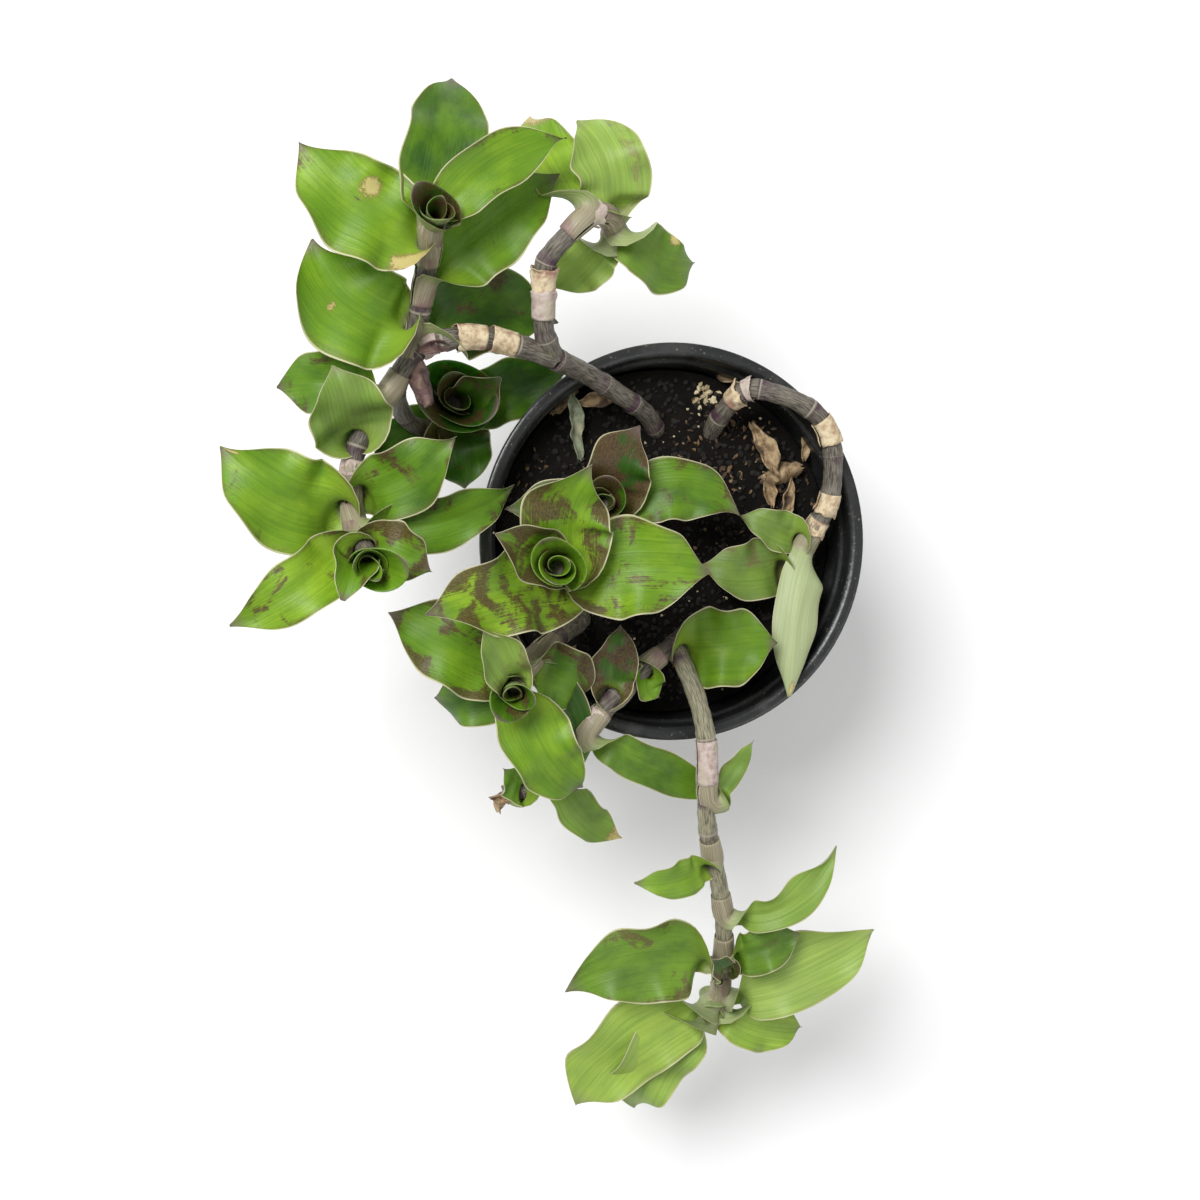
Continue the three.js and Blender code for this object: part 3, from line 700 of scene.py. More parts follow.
# rosette: branch, then for each leaf its station, tip, width, arch, bend, roll and cup as in the CAD,
# then its look: lime, blotch, pale, ruffle in mm, and scars as (share of length, share of width, size)
rosettes = {
    "upper_left": ("rear", [
        (3.8, (-70, 131, 120), 24, 7, 0, 0, 20, dict(lime=0.25, blotch=0.25, ruffle=0.5)),
        (3.3, (-114, 107, 140), 27, 5, -5, 0, 20,
            dict(lime=0.62, blotch=0.3, ruffle=1.4, scars=[(0.5, 0.4, 0.11), (0.12, -0.8, 0.12)])),
        (3.9, (-42, 111, 140), 16, 5, -4, 0, 30, dict(lime=0.55, blotch=0.5, ruffle=1.0)),
        (2.3, (-42, 103, 133), 24, 2, -2, 0, 20, dict(lime=0.5, blotch=0.35, ruffle=0.9)),
        (0.9, (-110, 83, 132), 30, 3, -8, 0, 20,
            dict(lime=0.5, blotch=0.25, ruffle=2.2, scars=[(0.6, -0.3, 0.05)])),
        (0.6, (-38, 64, 112), 27, -1, -6, 0, 20, dict(lime=0.15, blotch=0.5, ruffle=0.9)),
    ]),
    "rear": ("upper", [
        (6.6, (-36, 119, 128), 23, 8, 3, 0, 25, dict(lime=0.6, blotch=0.4, pale=0.55, ruffle=0.8)),
        (5.0, (-45, 124, 106), 20, 4, -4, 0, 20, dict(lime=0.75, blotch=0.1, ruffle=1.0, rot=0.25)),
        (7.0, (3, 83, 110), 18, 4, 6, 0, 20,
            dict(lime=0.42, blotch=0.15, pale=0.15, ruffle=0.6, scars=[(0.6, -0.85, 0.09)])),
        (7.4, (-39, 74, 112), 17, 2, 0, 0, 20, dict(lime=0.6, blotch=0.1, pale=0.6, ruffle=0.4)),
    ]),
    "outer": ("outer", [
        (6.1, (-119, 44, 112), 20, 5, 2, 0, 20, dict(lime=0.35, blotch=0.4, ruffle=1.0)),
        (7.6, (-105, 49, 133), 24, 6, 0, 0, 30, dict(lime=0.25, blotch=0.5, pale=0.35, ruffle=0.5)),
        (9.8, (-135, 27, 128), 28, 6, -5, 0, 20,
            dict(lime=0.6, blotch=0.35, ruffle=1.0, scars=[(0.93, 0.6, 0.07)])),
        (9.2, (-72, 30, 138), 20, 4, 3, 0, 20, dict(lime=0.35, blotch=0.65, ruffle=1.5)),
        (10.6, (-52, 17, 118), 16, 6, 5, 0, 20, dict(lime=0.35, blotch=0.5, ruffle=1.2)),
        (11.0, (-133, -22, 128), 18, 6, -2, 0, 20, dict(lime=0.7, blotch=0.55, ruffle=1.2)),
        (11.7, (-104, -14, 148), 15, 3, 0, 0, 50, dict(lime=0.5, blotch=0.6, ruffle=0.4)),
        (11.4, (-79, -7, 138), 18, 5, 0, 0, 35, dict(lime=0.5, blotch=0.7, ruffle=0.9)),
    ]),
    "nest": ("hook", [
        (5.2, (-31, 52, 93), 19, 6, 0, 0, 20, dict(lime=0.2, blotch=0.3, ruffle=1.2)),
        (4.6, (-61, 16, 84), 21, 4, 0, 0, 20, dict(lime=0.1, blotch=0.6, ruffle=1.2)),
        (4.4, (-89, 26, 90), 18, -5, 0, 0, 35, dict(lime=0.1, blotch=0.5, ruffle=0.9)),
        (5.7, (-54, 48, 106), 17, 3, 0, 0, 45, dict(lime=0.08, blotch=0.8, ruffle=0.5)),
    ]),
    "centre": ("centre", [
        (2.6, (-39, 22, 160), 27, 3, -7, 0, 20, dict(lime=0.6, blotch=0.7, ruffle=1.1)),
        (2.1, (-82, -18, 150), 25, 4, 3, 0, 20, dict(lime=0.7, blotch=0.75, ruffle=1.3)),
        (2.4, (-3, -8, 148), 28, 7, -3, 0, 20, dict(lime=0.62, blotch=0.6, ruffle=1.4)),
        (2.85, (-67, 4, 166), 17, 3, 0, 0, 45, dict(lime=0.6, blotch=0.85, ruffle=0.6)),
    ]),
    "back": ("back", [
        (2.4, (-16, 34, 122), 22, 5, -5, 0, 20, dict(lime=0.0, blotch=1.0, ruffle=0.8)),
        (2.1, (17, 8, 112), 19, 7, -8, 0, 20, dict(lime=0.35, blotch=0.5, ruffle=0.9)),
        (2.7, (-55, 10, 118), 18, 7, 0, 0, 20, dict(lime=0.2, blotch=0.6, ruffle=0.8)),
    ]),
    "front_left": ("front_left", [
        (4.0, (-89, -19, 122), 25, 6, 0, 0, 20, dict(lime=0.5, blotch=0.8, ruffle=1.3)),
        (4.7, (-66, -22, 146), 15, 3, 0, 0, 45, dict(lime=0.45, blotch=0.6, pale=0.4, ruffle=0.4)),
        (3.4, (-34, -47, 112), 20, 4, -5, 0, 20, dict(lime=0.3, blotch=0.65, ruffle=1.0)),
        (4.4, (-31, -72, 114), 21, 8, 6, 0, 20, dict(lime=0.62, blotch=0.0, ruffle=1.0)),
        (3.5, (-74, -45, 106), 19, 6, -3, 0, 20, dict(lime=0.3, blotch=0.5, ruffle=1.0)),
        (2.8, (-30, -69, 104), 13, 4, -3, 0, 20, dict(lime=0.15, blotch=0.3, ruffle=0.6)),
    ]),
    "broken_end": ("front", [
        (8.4, (-54, -66, 108), 12, 3, 0, 0, 20, dict(lime=0.3, blotch=0.4, ruffle=0.4)),
        (7.2, (-14, -91, 92), 13, 3, 4, 0, 20, dict(lime=0.35, blotch=0.25, pale=0.3, ruffle=0.9, rot=0.2)),
        (5.2, (18, -79, 97), 13, 4, 0, 0, 20, dict(lime=0.3, blotch=0.0, pale=0.05, ruffle=0.5)),
        (3.9, (-20, -24, 114), 14, 4, 0, 0, 20, dict(lime=0.05, blotch=1.0, ruffle=0.5)),
    ]),
    "right": ("right", [
        (10.9, (35, -47, 106), 16, 6, 3, 180, 35,
            dict(lime=0.4, blotch=0.0, pale=0.85, ruffle=0.4, scars=[(0.98, 0.2, 0.1)])),
        (10.4, (20, 8, 104), 13, 3, 0, 0, 20, dict(lime=0.3, blotch=0.2, pale=0.35, ruffle=0.5)),
        (11.8, (9, -7, 99), 19, 4, -2, 0, 20, dict(lime=0.25, blotch=0.6, pale=0.3, ruffle=0.6)),
    ]),
    "trailing": ("trailing", [
        (0.2, (28, -30, 116), 25, 5, -1, 0, 20, dict(lime=0.5, blotch=0.0, ruffle=1.5)),
        (4.4, (23, -60, 108), 7, 1, 0, 0, 20, dict(lime=0.25, blotch=0.5, pale=0.3, ruffle=0.3)),
        (6.2, (-14, -102, 108), 12, 3, -2, 0, 20, dict(lime=0.6, blotch=0.15, pale=0.15, ruffle=0.3)),
        (7.8, (53, -95, 100), 13, 4, 7, 0, 35, dict(lime=0.55, blotch=0.0, pale=0.45, ruffle=1.3)),
        (9.2, (-28, -143, 74), 26, 5, 8, 0, 20, dict(lime=0.35, blotch=0.5, pale=0.15, ruffle=1.4)),
        (10.4, (-20, -186, 54), 27, 6, 8, 0, 20,
            dict(lime=0.8, blotch=0.0, pale=0.55, ruffle=1.2, blunt=4.5)),
        (11.0, (1, -190, 50), 24, 8, 10, 0, 15, dict(lime=0.6, blotch=0.15, pale=0.6, ruffle=1.9, blunt=4.0)),
        (10.2, (72, -126, 84), 24, 6, 2, 0, 20,
            dict(lime=0.65, blotch=0.1, pale=0.75, ruffle=2.1, blunt=3.2)),
        (10.8, (54, -162, 64), 19, 4, 2, 0, 20, dict(lime=0.85, blotch=0.0, pale=0.35, ruffle=1.1)),
        (9.0, (44, -124, 92), 16, 3, 0, 0, 20, dict(lime=0.3, blotch=0.5, pale=0.1, ruffle=0.9)),
    ]),
}


def eased(low, high, x):
    """0 below low, 1 above high and a smooth rise between."""
    t = np.clip((x - low) / (high - low), 0, 1)
    return t * t * (3 - 2 * t)


def twisted(side, along, angle):
    """A direction turned about another by an angle."""
    return side * np.cos(angle) + np.cross(along, side) * np.sin(angle)


def square_to(side, along):
    """The part of a direction that is square to another, made one long."""
    return unit(side - along * np.dot(side, along))


leaf_thickness = 0.9 * MM
sheath_rows = 8
blade_rows = 36
across_rows = 27
sheath_wrap = math.radians(172)
clasp = math.radians(62)


def quads_between(index):
    """The four-sided faces of a grid of corner numbers."""
    return np.stack([index[:-1, :-1], index[:-1, 1:], index[1:, 1:], index[1:, :-1]], -1).reshape(-1, 4)


def closed_sheet(upper, lower):
    """The corners and faces of a thin closed sheet between two layers of corners."""
    count = upper[..., 0].size
    index = np.arange(count).reshape(upper.shape[:2])
    quads = quads_between(index)
    rim = np.concatenate([index[0, :-1], index[:-1, -1], index[-1, :0:-1], index[:0:-1, 0]])
    wall = np.stack([np.roll(rim, -1), rim, rim + count, np.roll(rim, -1) + count], -1)
    corners = np.vstack([upper.reshape(-1, 3), lower.reshape(-1, 3)])
    return corners, np.vstack([quads, quads[:, ::-1] + count, wall])


def sheet_numbers(shape, place, size, look, wear):
    """The numbers that a leaf's colours follow, for the upper layer and then for the lower."""
    numbers = {}
    for label, values in {
        "leaf_place": (*place, 0), "leaf_size": size, "leaf_look": look, "leaf_wear": wear,
    }.items():
        lower = np.stack([np.broadcast_to(v, shape) for v in values], -1).reshape(-1, 3).astype(float)
        upper = lower.copy()
        if label == "leaf_place":
            upper[:, 2] = 1
        numbers[label] = np.vstack([upper, lower])
    return numbers


def leaf_surface(line, length, tip, width, arch=0, bend=0, roll=0, cup=20, seed=1.0, lime=0.5, blotch=0.3,
                 pale=0.0, ruffle=1.0, rot=0.0, scars=(), sheath=6.5, blunt=2.5):
    """One leaf: its corners, its faces and the numbers that its colours follow."""
    chance = random.Random(int(seed * 1000))
    centre = line.place(length)
    rise = line.slope(length)
    end = np.array(tip, float) * MM
    outwards = square_to(end - centre, rise)
    start = centre + outwards * (max(line.radii) + 0.6) * MM
    chord = unit(end - start)
    side = unit(np.cross(chord, [0, 0, 1]))
    if abs(chord[2]) >= 0.985:
        side = square_to(np.cross(outwards, rise), chord)
    lift = np.cross(side, chord)
    reach = np.linalg.norm(end - start)
    bow = start + 0.45 * (end - start) + (2 * arch * lift + 2 * bend * side) * MM

    # the midrib, from the bottom of the sheath to the tip
    share = np.linspace(0, 1, blade_rows)
    mouth = centre + outwards * (line.radius(length) + 0.75 * MM)
    first = mouth + (bow - mouth) * 0.4 + rise * min(4 * MM, 0.12 * reach)
    second = end + (bow - end) * 0.667
    t = share[:, None]
    blade = (
        mouth * (1 - t) ** 3 + 3 * first * t * (1 - t) ** 2 + 3 * second * t ** 2 * (1 - t) + end * t ** 3)
    below = np.linspace(-sheath * MM, -0.5 * MM, sheath_rows)
    spine, directions, sides = [], [], []
    for d in below:
        here = length + d
        axis = line.slope(here)
        out_here = square_to(outwards, axis)
        grip = line.radius(here) + (0.75 + 0.45 * d / (sheath * MM)) * MM
        spine.append(line.place(here) + out_here * grip)
        directions.append(axis)
        sides.append(np.cross(out_here, axis))
    spine = np.vstack([spine, blade])
    directions = np.vstack([directions, unit(np.gradient(blade, axis=0))])
    for _ in range(2):
        middle = directions[1:-1] * 2 + directions[:-2] + directions[2:]
        directions[1:-1] = unit(middle)
    aim = twisted(side, chord, math.radians(roll))
    frames = [square_to(sides[0], directions[0])]
    turns = [0.0]
    for row in range(1, len(spine)):
        along = directions[row]
        carried = square_to(sides[row] if row < sheath_rows else frames[-1], along)
        frames.append(carried)
        goal = square_to(aim, along)
        turns.append(math.atan2(np.dot(along, np.cross(carried, goal)), np.dot(carried, goal)))
    turns = np.unwrap(turns[sheath_rows:])
    turns -= 2 * math.pi * round(float(turns[-1]) / (2 * math.pi))
    ease = eased(0.0, 0.24, share)
    for row in range(blade_rows):
        k = sheath_rows + row
        frames[k] = twisted(frames[k], directions[k], ease[row] * turns[row])
    frames = np.array(frames)
    ups = np.cross(frames, directions)

    # half-widths, folds and the thickness, row by row
    beyond = np.clip((share - 0.4) / 0.6, 0, 1)
    half = width / 2 * MM * np.where(
        share < 0.4, 0.74 + 0.26 * np.sin(np.pi / 2 * np.minimum(share / 0.4, 1)),
        (1 - beyond ** blunt) * (1 - 0.42 * eased(0.62, 1.0, beyond)))
    half = np.maximum(half, 0.12 * MM)
    grip = line.radius(length) + 0.75 * MM
    loosening = 1 - eased(0, 4.5 * MM / reach, share)
    cup = math.radians(cup)
    fold = cup + (max(clasp, cup) - cup) * (1 - eased(0.0, 0.26, share))
    half = half + (sheath_wrap * grip - half) * loosening
    fold = fold + (sheath_wrap - fold) * loosening
    sheath_grip = np.array([line.radius(length + d) + (0.75 + 0.45 * d / (sheath * MM)) * MM for d in below])
    half = np.concatenate([sheath_wrap * sheath_grip, half])
    fold = np.concatenate([np.full(sheath_rows, sheath_wrap), fold])
    s = np.concatenate([below / reach, share])
    blade_share = eased(0.02, 0.25, s)
    v = np.sin(np.linspace(-np.pi / 2, np.pi / 2, across_rows))
    S, V = np.meshgrid(s, v, indexing="ij")
    waves = chance.uniform(1.7, 2.6)
    phases = np.where(V < 0, chance.uniform(0, 1), chance.uniform(0, 1))
    uneven = 1 + 0.035 * np.sin(2 * np.pi * (waves * 1.3 * S + phases)) * np.abs(V) * blade_share[:, None]
    lean = 1 + 0.16 * (chance.random() - 0.5) * np.sign(V) * blade_share[:, None]
    angle = V * fold[:, None] * lean
    radius = (half / fold)[:, None]
    swing = radius * uneven
    ruffled = (
        ruffle * MM * np.abs(V) ** 2.4 * np.sin(2 * np.pi * (waves * S + phases))
        * eased(0.08, 0.35, S) * (1 - 0.6 * eased(0.85, 1.0, S)))
    across = V * half[:, None]
    channel = -0.55 * MM * np.exp(-(across / MM) ** 2)
    channel = channel * ((1 - np.clip(S, 0, 1)) ** 0.6) * blade_share[:, None]
    wave = 0.7 * MM * np.sin(2 * np.pi * (1.1 * S + chance.random())) * blade_share[:, None]
    axis_of = spine + ups * (half / fold)[:, None]
    radial = frames[:, None, :] * np.sin(angle)[..., None] - ups[:, None, :] * np.cos(angle)[..., None]
    sheet = axis_of[:, None, :] + radial * swing[..., None]
    normal = -radial
    sheet = sheet + normal * (ruffled + channel + wave)[..., None]
    thinning = (1 - 0.85 * np.abs(V) ** 4) * (1 - 0.6 * eased(0.8, 1, S))
    body = leaf_thickness / 2 * thinning * (0.45 + 0.55 * blade_share[:, None])
    scar = np.zeros_like(S)
    for where, off, size in scars:
        scar = np.maximum(scar, 1 - np.hypot((S - where), (V - off) * width / 2 / (reach / MM)) / size)
    if rot:
        scar = np.maximum(scar, (S - 1 + rot) / rot * 0.9)
    corners, faces = closed_sheet(sheet + normal * body[..., None], sheet - normal * body[..., None])
    return corners, faces, sheet_numbers(
        S.shape, (S, V), (S * reach / MM, across / MM, seed), (lime, blotch, pale),
        (np.clip(scar, 0, 1), blade_share[:, None], 0))



def leaf_object(name, surfaces, finish):
    """One object of one or more leaves."""
    start = 0
    corners, faces = [], []
    for places, quads, _ in surfaces:
        corners.append(places)
        faces.append(quads + start)
        start += len(places)
    data = bpy.data.meshes.new(name)
    data.from_pydata(np.vstack(corners).tolist(), [], np.vstack(faces).tolist())
    for label in surfaces[0][2]:
        layer = data.attributes.new(label, "FLOAT_VECTOR", "POINT")
        values = np.vstack([numbers[label] for _, _, numbers in surfaces]).astype(np.float32)
        layer.data.foreach_set("vector", values.ravel())
    data.materials.append(finish)
    data.shade_smooth()
    made = bpy.data.objects.new(name, data)
    bpy.context.collection.objects.link(made)
    return made


leaf_finish, tree, shader = new_finish("leaf", 0.42)
place = add(tree, "ShaderNodeSeparateXYZ", {0: attribute(tree, "leaf_place", "Vector")}).outputs
size = add(tree, "ShaderNodeSeparateXYZ", {0: attribute(tree, "leaf_size", "Vector")}).outputs
look = add(tree, "ShaderNodeSeparateXYZ", {0: attribute(tree, "leaf_look", "Vector")}).outputs
wear = add(tree, "ShaderNodeSeparateXYZ", {0: attribute(tree, "leaf_wear", "Vector")}).outputs
length_share, width_share, above = place[0], place[1], place[2]
edge = sums(tree, "ABSOLUTE", width_share)
shifted = add(tree, "ShaderNodeCombineXYZ", {
    0: sums(tree, "ADD", size[0], sums(tree, "MULTIPLY", size[2], 31.7)), 1: size[1], 2: size[2]}).outputs[0]
veins = grain(tree, stretched(tree, shifted, (0.035, 1.5, 1)), 1.0, 3, 0.5)
fine_veins = grain(tree, stretched(tree, shifted, (0.05, 5.0, 1)), 1.0, 2, 0.5)
clouds = grain(tree, stretched(tree, shifted, (0.09, 0.13, 1)), 1.0, 4, 0.55)
bands = grain(tree, stretched(tree, shifted, (0.105, 0.09, 3)), 1.0, 7, 0.62, 0.5)
grainy = grain(tree, stretched(tree, shifted, (1.6, 2.4, 1)), 1.0, 3, 0.6)

dark_green = (0.018, 0.062, 0.002, 1)
mid_green = (0.105, 0.215, 0.008, 1)
lime_green = (0.25, 0.39, 0.018, 1)
tone = sums(tree, "ADD", look[0], sums(tree, "MULTIPLY", sums(tree, "SUBTRACT", clouds, 0.5), 0.9))
green = mixed(tree, between(tree, tone, 0.0, 0.5), dark_green, mid_green)
green = mixed(tree, between(tree, tone, 0.45, 1.0), green, lime_green)
green = mixed(tree, between(tree, veins, 0.42, 0.7, 0.0, 0.32), green, (0.045, 0.125, 0.005, 1))
foot = between(tree, length_share, 0.0, 0.3, 0.45, 0.0)
green = mixed(tree, foot, green, (0.3, 0.42, 0.05, 1))

brown = mixed(tree, between(tree, grainy, 0.3, 0.7), (0.035, 0.013, 0.012, 1), (0.11, 0.06, 0.022, 1))
limit = sums(tree, "SUBTRACT", 0.76, sums(tree, "MULTIPLY", look[1], 0.3))
ragged = sums(tree, "ADD", bands, sums(tree, "MULTIPLY", sums(tree, "SUBTRACT", fine_veins, 0.5), 0.22))
spread_edge = sums(tree, "MULTIPLY", between(tree, edge, 0.45, 1.0), sums(tree, "MULTIPLY", look[1], 0.1))
ragged = sums(tree, "ADD", ragged, spread_edge)
stain = between(tree, sums(tree, "SUBTRACT", ragged, limit), -0.03, 0.045)
green = mixed(tree, sums(tree, "MULTIPLY", stain, 0.88), green, brown)

margin = sums(tree, "MULTIPLY", between(tree, edge, 0.78, 0.96), between(tree, grainy, 0.25, 0.7, 0.3, 1.0))
green = mixed(tree, sums(tree, "MULTIPLY", margin, 0.55), green, (0.085, 0.06, 0.025, 1))
tip_zone = between(tree, length_share, 0.86, 1.0)
green = mixed(tree, sums(tree, "MULTIPLY", tip_zone, 0.85), green, (0.12, 0.075, 0.075, 1))
washed = mixed(tree, between(tree, veins, 0.3, 0.75), (0.36, 0.45, 0.13, 1), (0.25, 0.34, 0.09, 1))
green = mixed(tree, sums(tree, "MULTIPLY", look[2], 0.8), green, washed)

silver = mixed(tree, between(tree, veins, 0.3, 0.75), (0.27, 0.33, 0.13, 1), (0.17, 0.23, 0.07, 1))
silver = mixed(tree, sums(tree, "MULTIPLY", stain, 0.45), silver, (0.14, 0.08, 0.07, 1))
silver = mixed(tree, sums(tree, "MULTIPLY", look[2], 0.5), silver, (0.47, 0.52, 0.32, 1))
skin_tone = mixed(tree, above, silver, green)
wrap = mixed(tree, between(tree, fine_veins, 0.35, 0.65), (0.2, 0.17, 0.11, 1), (0.33, 0.3, 0.2, 1))
wrap = mixed(tree, between(tree, clouds, 0.5, 0.7), wrap, (0.2, 0.12, 0.12, 1))
skin_tone = mixed(tree, between(tree, length_share, -0.02, 0.06, 1.0, 0.0), skin_tone, wrap)
line_edge = between(tree, edge, 0.955, 0.985)
skin_tone = mixed(tree, sums(tree, "MULTIPLY", line_edge, 0.85), skin_tone, (0.5, 0.47, 0.3, 1))

ragged_scar = sums(tree, "ADD", wear[0], sums(tree, "MULTIPLY", sums(tree, "SUBTRACT", grainy, 0.5), 0.9))
ragged_scar = sums(tree, "ADD", ragged_scar, sums(tree, "MULTIPLY", sums(tree, "SUBTRACT", bands, 0.5), 1.6))
scarred = between(tree, ragged_scar, 0.18, 0.4)
scar_tone = mixed(tree, between(tree, ragged_scar, 0.25, 0.6), (0.17, 0.1, 0.03, 1), (0.5, 0.4, 0.17, 1))
scarred = sums(tree, "MULTIPLY", scarred, between(tree, wear[0], 0.0, 0.3, 0.0, 0.85))
skin_tone = mixed(tree, scarred, skin_tone, scar_tone)
tree.links.new(skin_tone, shader.inputs["Base Color"])
rough = sums(tree, "ADD", 0.36, sums(tree, "MULTIPLY", grainy, 0.2))
tree.links.new(rough, shader.inputs["Roughness"])
shader.inputs["Specular IOR Level"].default_value = 0.3
shader.inputs["Subsurface Weight"].default_value = 0.08
shader.inputs["Subsurface Scale"].default_value = 0.004
shader.inputs["Subsurface Radius"].default_value = (0.4, 1.0, 0.15)
relief = sums(tree, "ADD", sums(tree, "MULTIPLY", veins, 0.7), sums(tree, "MULTIPLY", grainy, 0.3))
roughened(tree, shader, relief, 0.35, 0.0006)

for rosette, (branch, leaves) in rosettes.items():
    line = lines[branch]
    for count, (station, tip, width, arch, bend, roll, cup, details) in enumerate(leaves, 1):
        node = f"{rosette}_leaf_{count}"
        seed = 1 + 0.37 * count + 5.1 * list(rosettes).index(rosette)
        surface = leaf_surface(
            line, line.length(station), tip, width, arch, bend, roll, cup, seed=seed, **details)
        blade = leaf_object(node + "_fine", [surface], leaf_finish)
        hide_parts(node)
        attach(blade, "root")

# ---- The rolled young leaves ----
# At the end of each living stem two or three new leaves are still rolled round each other into a
# funnel. From above they show as a whorl of thin edges round a dark throat.


def rolled_leaf(foot, upright, facing, height, low, high, wrap, seed, lime, blotch, pale=0.0, lean=2.0):
    """One young leaf rolled into a funnel: its corners, its faces and the numbers its colours follow."""
    first = square_to(np.array([math.cos(facing), math.sin(facing), 0]), upright)
    second = np.cross(upright, first)
    t, w = np.meshgrid(np.linspace(0, 1, 22), np.linspace(-1, 1, 41), indexing="ij")
    angle = w * wrap
    tall = 1 - 0.42 * np.abs(w) ** 1.5 + 0.2 * np.exp(-(w / 0.22) ** 2)
    spread = (low + (high - low) * t ** 1.4) * (1 - 0.24 * (w + 1) / 2)
    oval = 1 + 0.13 * np.cos(2 * (w * wrap + facing) + 0.9) * t
    spread = spread * oval + (0.4 * np.sin(4.3 * w + seed * 7) + lean * np.exp(-(w / 0.36) ** 2) * t) * t
    around = first * np.cos(angle)[..., None] + second * np.sin(angle)[..., None]
    sheet = foot + around * (spread * MM)[..., None] + upright * (height * MM * t * tall)[..., None]
    across = np.gradient(sheet, axis=1)
    along = np.gradient(sheet, axis=0)
    normal = unit(np.cross(across, along))
    body = 0.3 * MM * (1 - 0.8 * np.abs(w) ** 6) * (1 - 0.6 * t ** 6)
    corners, faces = closed_sheet(sheet - normal * body[..., None], sheet + normal * body[..., None])
    share = 0.1 + 0.9 * t * tall / 1.2
    return corners, faces[:, ::-1], sheet_numbers(
        t.shape, (share, w), (share * height * 1.6, w * wrap * high, seed), (lime, blotch, pale), (0, 1, 0))



# branch, how far past the stem's end it opens (mm), its height, its radius at the foot and at the
# mouth, where its outer leaf points (degrees), and its look
whorls = [
    ("rear", (2, 1), 15, 3.2, 6.0, 150, dict(lime=0.1, blotch=0.9)),
    ("outer", (-1, -2), 15, 3.2, 7.0, 15, dict(lime=0.5, blotch=0.5)),
    ("hook", (0, -1), 17, 4.0, 12.5, 200, dict(lime=0.0, blotch=0.75)),
    ("centre", (-2, 2), 17, 3.6, 7.0, 110, dict(lime=0.55, blotch=0.6)),
    ("back", (-2, 0), 13, 3.0, 5.5, 80, dict(lime=0.1, blotch=0.9)),
    ("front_left", (0, 1), 13, 3.2, 6.0, 230, dict(lime=0.25, blotch=0.75)),
    ("trailing", (-4, 6), 10, 2.8, 4.8, 90, dict(lime=0.4, blotch=0.55, pale=0.3)),
]
for count, (branch, shift, height, low, high, facing, details) in enumerate(whorls):
    line = lines[branch]
    end = line.lengths[-1]
    upright = unit(line.slope(end) * 0.35 + np.array([0, 0, 0.65]))
    foot = line.place(end) + np.array([*shift, 0]) * MM * 0.5 - upright * 4 * MM
    layers = []
    for k, share in enumerate((1.0, 0.74, 0.52, 0.32) if high > 10 else (1.0, 0.68, 0.4)):
        layers.append(rolled_leaf(
            foot + upright * k * 0.8 * MM, upright, math.radians(facing + 137 * k), height * (1 - 0.1 * k),
            low * (0.5 + 0.5 * share), high * share, math.radians(175 + 12 * k), 50 + 3.3 * count + k,
            lean=2.2 * share, **details))
    whorl = leaf_object(f"{branch}_whorl", layers, leaf_finish)
    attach(whorl, "root")

# ---- Papery sheath remains ----
# Where old leaves have died, their sheaths are left as dry cream cuffs round the stem, split and
# ragged at their upper edge. A few are pinkish and still tight.

cuff, cuff_keys, given = geometry_tree("papery_cuff", {
    "Raggedness": "NodeSocketFloat",
    "Seed": "NodeSocketInt",
    "Finish": "NodeSocketMaterial",
})
path = add(cuff, "GeometryNodeMeshToCurve", {"Mesh": given["Geometry"]})
outer_arc = add(cuff, "GeometryNodeCurveArc", {
    "Resolution": 40, "Radius": 1.0, "Start Angle": 0.0, "Sweep Angle": math.radians(345)})
tube = add(cuff, "GeometryNodeCurveToMesh", {
    "Curve": path.outputs[0], "Profile Curve": outer_arc.outputs[0], "Scale": named(cuff, "thick")})
tatter = add(cuff, "ShaderNodeTexNoise", {"Scale": 380.0, "Detail": 4.0, "W": 0.0}, noise_dimensions="4D")
cuff.links.new(given["Seed"], tatter.inputs["W"])
off_centre = add(cuff, "ShaderNodeVectorMath", {
    0: tatter.outputs["Color"], 1: (0.5, 0.5, 0.5)}, operation="SUBTRACT")
tatters = add(cuff, "ShaderNodeVectorMath", {
    0: off_centre.outputs[0],
    "Scale": sums(cuff, "MULTIPLY", named(cuff, "upper_end"), given["Raggedness"])}, operation="SCALE")
torn = add(cuff, "GeometryNodeSetPosition", {"Geometry": tube.outputs[0], "Offset": tatters.outputs[0]})
thickness = add(cuff, "GeometryNodeExtrudeMesh", {
    "Mesh": torn.outputs[0], "Offset Scale": 0.2 * MM, "Individual": False})
back_side = add(cuff, "GeometryNodeFlipFaces", {"Mesh": torn.outputs[0]})
both = add(cuff, "GeometryNodeJoinGeometry")
cuff.links.new(thickness.outputs["Mesh"], both.inputs[0])
cuff.links.new(back_side.outputs[0], both.inputs[0])
joined = add(cuff, "GeometryNodeMergeByDistance", {"Geometry": both.outputs[0], "Distance": 0.00001})
smooth_shaded = add(cuff, "GeometryNodeSetShadeSmooth", {"Geometry": joined.outputs[0]})
ended(cuff, smooth_shaded.outputs[0], given["Finish"])


def papery(name, light, dark, tint):
    """A dry fibrous finish, darker between its fibres and tinted in patches."""
    made, tree, shader = new_finish(name, 0.75)
    spot = add(tree, "ShaderNodeTexCoord").outputs["Object"]
    fibres = grain(tree, spot, 420, 5, 0.65)
    tone = mixed(tree, between(tree, fibres, 0.34, 0.62), dark, light)
    tone = mixed(tree, between(tree, grain(tree, spot, 130, 3), 0.52, 0.68), tone, tint)
    tree.links.new(tone, shader.inputs["Base Color"])
    roughened(tree, shader, fibres, 0.8, 0.0006)
    return made


